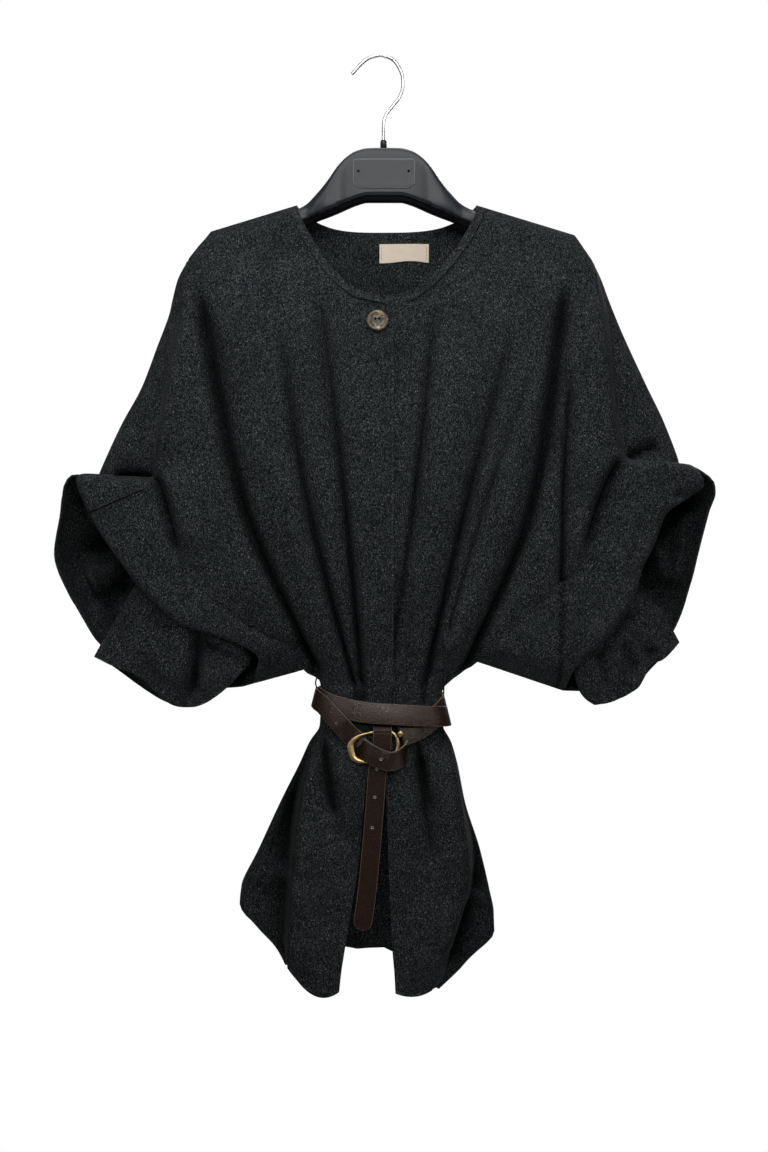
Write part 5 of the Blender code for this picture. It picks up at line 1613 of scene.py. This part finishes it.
def make_stud():
    high, r = STUD["foot"] - STUD["head"], STUD["radius"]
    outline = [(0, 0), (1.6, 0), (1.6, 3.0)]
    for k in range(12):
        a = math.pi * (0.2 + 0.8 * k / 11)
        outline.append((r * math.sin(a), high - r * math.cos(a) * 0.7))
    outline[-1] = (0, outline[-1][1])
    place = (STUD["x"], STUD["foot"], STUD["z"])
    turned("brass_stud", outline, place, QUARTER_TURN, BRASS, ("buckle_stud",), 32)


make_buckle()
make_stud()
print("buckle ready")

# %% [markdown]
# One four-hole button with a raised rim closes the neck, and a plain tape label is sewn inside the back. The real
# button is turned from horn-like plastic and drilled. Here its profile is turned and the four holes are small dark
# cups of painted shade on its face, and a paler ring is painted on its rim as its highlight. The label is a woven
# tape that puffs a little between the stitches at its two ends.

# %% Button and label
BUTTON = {"x": -7.0, "z": -297.0, "radius": 12.6, "thick": 4.0, "well": 1.8, "hole_at": 2.1}
LABEL = {"x": 22.5, "z": -207.0, "wide": 55.0, "high": 20.0, "thick": 0.6, "stitches_in": 2.5}
CUP = ((0.0, 0.02), (0.9, 0.02), (1.3, 0.06), (1.5, 0.0))


def make_button():
    y, normal = surface(trees["front_right"], BUTTON["x"], BUTTON["z"], -1)
    r, t = BUTTON["radius"] * 0.9, BUTTON["thick"]
    floor_at = t - BUTTON["well"]
    outline = (
        (0, 0), (r - 3, 0), (r - 1.2, 0.5), (r - 0.3, 1.4), (r, 2.2), (r - 0.2, t - 0.8), (r - 0.9, t - 0.2),
        (r - 1.8, t), (r - 2.8, t - 0.3), (r - 3.8, t - 1.0), (r - 5.0, t - 1.6), (r - 6.0, floor_at), (0, floor_at),
    )
    tilt = normal.to_track_quat("Z", "Y").to_euler()
    back = np.array([BUTTON["x"], y - CLOTH / 2 - GAP - 0.5, BUTTON["z"]])
    turned("horn_button", outline, back, tilt, HORN, ("button",))
    face = back + np.array(normal) * floor_at
    for k, (dx, dz) in enumerate(((-1, -1), (1, -1), (1, 1), (-1, 1))):
        place = face + np.array([dx * BUTTON["hole_at"], -0.15, dz * BUTTON["hole_at"]])
        turned(f"button_hole_{k}", CUP, place, tilt, SHADE_PLASTIC, (), 20)


def label_point(dx, dz):
    """A place on the label, by shares of its width and height from its middle."""
    x = LABEL["x"] + dx * LABEL["wide"]
    z = LABEL["z"] + dz * LABEL["high"] + 1.1 * math.sin(5.5 * dx + 0.9) * (0.6 - dz)
    puff = 0.5 * math.cos(math.pi * dx) + 0.25 * math.sin(9 * dx)
    return x, depth_on(trees["back"], x, z) - CLOTH / 2 - GAP - LABEL["thick"] / 2 - 0.1 - max(0, puff), z


def make_label():
    sheet = Sheet()
    sheet.add(np.array([[
        label_point(dx, dz) for dx in np.linspace(-0.5, 0.5, 36)
    ] for dz in np.linspace(0.5, -0.5, 14)]))
    label = sheet.wall("tape_label", LABEL["thick"], TAPE, ("label",))
    corners = [v.co / MM + Vector(HOOK_INSIDE_TOP) for v in label.data.vertices]
    for sign in (-1, 1):
        x = LABEL["x"] + sign * (LABEL["wide"] / 2 - LABEL["stitches_in"])
        near = [p for p in corners if abs(p.x - x) < 1.2]
        line = [(x, min(p.y for p in near if abs(round(p.z, 1) - z) < 1.5), z) for z in np.linspace(-215, -200, 8)]
        stitches(f"label_stitches_{sign + 1}", line, [(0, -1, 0)] * len(line))


make_button()
make_label()
print("button and label ready")

# %% [markdown]
# The hanger is a moulded black body with a blank plate, a short socket and a bent chrome wire hook. A real one is
# injected in one piece, broad at the shoulders so that a coat keeps its shape, with a stepped band along the bottom.
# Its sections change from a flat middle to round arms, so rings are swept from one end to the other.

# %% Hanger and hook
# The hanger, a section per row from the middle out: distance, top, bottom and half depth.
HANGER_SECTIONS = (
    (0, -97.5, -156, 9), (18, -98, -156, 9), (30, -101, -159, 9.5), (40, -107, -163, 10.5), (51, -118, -168, 12),
    (62, -133, -173, 12), (74, -147, -178, 10.5), (86, -159, -183, 6), (97, -164.6, -187, 7),
    (112, -168.4, -191, 13.5), (130, -173.9, -196, 14.5), (160, -183.3, -202, 13.5), (175, -188, -205, 11),
    (184, -191.6, -205, 5),
)
HANGER_RINGS, HANGER_SIDES = 90, 80
HANGER_BAND = 7.5  # height of the stepped band along the bottom, which is painted in shade
HANGER_PLATE = {"wide": 66.0, "high": 30.0, "z": -127.0, "upper": 2.0, "lower": 8.0}
PLATE_FRONT = -HANGER_SECTIONS[3][3]
PLATE_MARKS = (-28, 27)
WIRE = 1.9
SOCKET_RADIUS = 3.6
HOOK_LINE = (
    (-35, 0, -15), (-25, 0, -4), (-15, 0, 3.2), (-4, 0, 5.6), (8, 0, 2), (16, 0, -7), (20.6, 0, -19),
    (21, 0, -28), (18, 0, -39), (10, 0, -50), (2.5, 0, -60), (0, 0, -68), (-0.5, 0, -80), (-0.5, 0, -95.6),
)


def make_hanger():
    low = set()
    ws, *sizes = np.array(HANGER_SECTIONS, float).T
    outs = np.linspace(0, ws[-1], HANGER_RINGS)
    sections = list(zip(outs, *(glide(ws, size, outs) for size in sizes)))
    bm = bmesh.new()
    rings = []
    for x, top, bottom, half in [(-out, *size) for out, *size in sections[:0:-1]] + sections:
        middle, high = (top + bottom) / 2, (top - bottom) / 2
        square = 2 + 4 * (1 - smooth((abs(x) - 34) / 40))
        ring = []
        for k, angle in enumerate(circle(HANGER_SIDES)):
            cos, sin = squarish(angle, 2 / square)
            y, z = half * cos, middle + high * sin
            # Along the bottom the front steps back, and that band gets the near-black plastic as painted shade.
            if y < 0 and z < bottom + HANGER_BAND:
                y *= 0.5
                low.add((len(rings), k))
            ring.append(bm.verts.new(Vector(to_world((x, y, z)))))
        rings.append(ring)
    skin(bm, rings, 0, lambda ring, side: int({(ring, side), (ring, (side + 1) % HANGER_SIDES)} <= low))
    obj = dress("moulded_hanger", mesh_of("moulded_hanger", bm), SATIN, ("hanger_body",))
    obj.data.materials.append(SHADE_PLASTIC)


def plate_piece(name, levels, material, nodes):
    """Rings of the plate's outline, each grown and set at its depth."""
    bm = bmesh.new()
    rings = []
    for grow, y in levels:
        wide, high = (HANGER_PLATE[key] + 2 * grow for key in ("wide", "high"))
        upper, lower = (HANGER_PLATE[key] + grow for key in ("upper", "lower"))
        rings.append([
            bm.verts.new(Vector(to_world((x, PLATE_FRONT + y, z + HANGER_PLATE["z"]))))
            for x, z in rounded_outline(wide, high, upper, lower, 8)
        ])
    skin(bm, rings)
    dress(name, mesh_of(name, bm, False), material, nodes)


def make_plate():
    # The paler ring round the plate paints the highlight on the groove's edge, and the two holes are dark discs of
    # painted shade.
    plate_piece("painted_groove_highlight", ((0.9, 1.2), (0.9, -0.22), (0.6, -0.24)), GROOVE_HIGHLIGHT, ())
    plate_piece("hanger_front_plate", ((-0.2, 0.4), (-0.2, -0.5), (-0.5, -0.7)), SATIN, ("hanger_plate",))
    for k, x in enumerate(PLATE_MARKS):
        ring = ((0.0, 0.02), (0.9, 0.02), (1.2, 0.06), (1.5, 0.0))
        turned(f"plate_hole_{k}", ring, (x, PLATE_FRONT - 0.75, -125), QUARTER_TURN, SHADE_PLASTIC, (), 20)


def tube(name, points, radius, material, nodes, sides=6):
    curve = bpy.data.curves.new(name, "CURVE")
    curve.dimensions = "3D"
    curve.bevel_depth = radius * MM
    curve.bevel_resolution = sides
    curve.use_fill_caps = True
    spline = curve.splines.new("POLY")
    spline.points.add(len(points) - 1)
    for target, p in zip(spline.points, points):
        target.co = (*to_world(p), 1)
    obj = bare(name, curve, material)
    keep(obj, nodes)
    return obj


def make_hook():
    tube("chrome_hook", curve_through(HOOK_LINE, 12), WIRE, CHROME, ("hanger_hook",))
    bore, outside = WIRE + 0.05, SOCKET_RADIUS
    outline = ((bore, 0), (outside, 0), (outside, 7), (outside - 0.3, 8.2), (outside - 1.0, 9), (bore, 9), (bore, 0))
    turned("hook_socket", outline, (-0.5, 0, -97.0), (0, 0, 0), SATIN, ("hanger_socket",), 40)


make_hanger()
make_plate()
make_hook()
print("hanger ready")

# %% [markdown]
# A thread loop at each side carries the belt, and a seam runs across one sleeve. The real carriers are chains of
# thread, crocheted into the side seam, and they nearly vanish against the wool. Thin round threads along a line are
# enough for both, because only their dark line is to be seen; across the sleeve that dark line is painted shade of
# the seam.

# %% Belt carriers
CARRIER = 0.8
CARRIER_RISE = 3.5  # by so much each next point lies higher than the solid's
CARRIERS = {
    "belt_carrier_right": (
        (-73.4, -17, -679), (-77.6, -17, -688), (-78.0, -17, -706), (-77.6, -17, -726), (-74.6, -17, -736),
    ),
    "belt_carrier_left": (
        (73.0, -17, -684), (72.4, -17, -692), (72.2, -17, -708), (72.0, -17, -728), (69.4, -17, -738),
    ),
}
SEAM_SHADE_RADIUS = 0.7
# Painted shade: a thin dark thread across the viewer's left sleeve draws the shadow line of the seam there.
SLEEVE_SEAM = ((-313, -500), (-257, -476))

for name, line in CARRIERS.items():
    # They are pulled in towards the side, so that they show as little as they should.
    close = [
        (x * (0.9 if x > 0 or k > 1 else 1 - 0.04 * k), y, z + CARRIER_RISE * k) for k, (x, y, z) in enumerate(line)
    ]
    tube("thread_" + name, curve_through(close, 8), CARRIER, THREAD_AND_SEAM_SHADE, (name,), 3)

seam_points, _ = on_surface(trees["front_right"], np.linspace(*SLEEVE_SEAM, 24), -1, CLOTH / 2 + 0.35)
tube("sleeve_seam_shade", seam_points, SEAM_SHADE_RADIUS, THREAD_AND_SEAM_SHADE, (), 2)
print("carriers and seam ready")
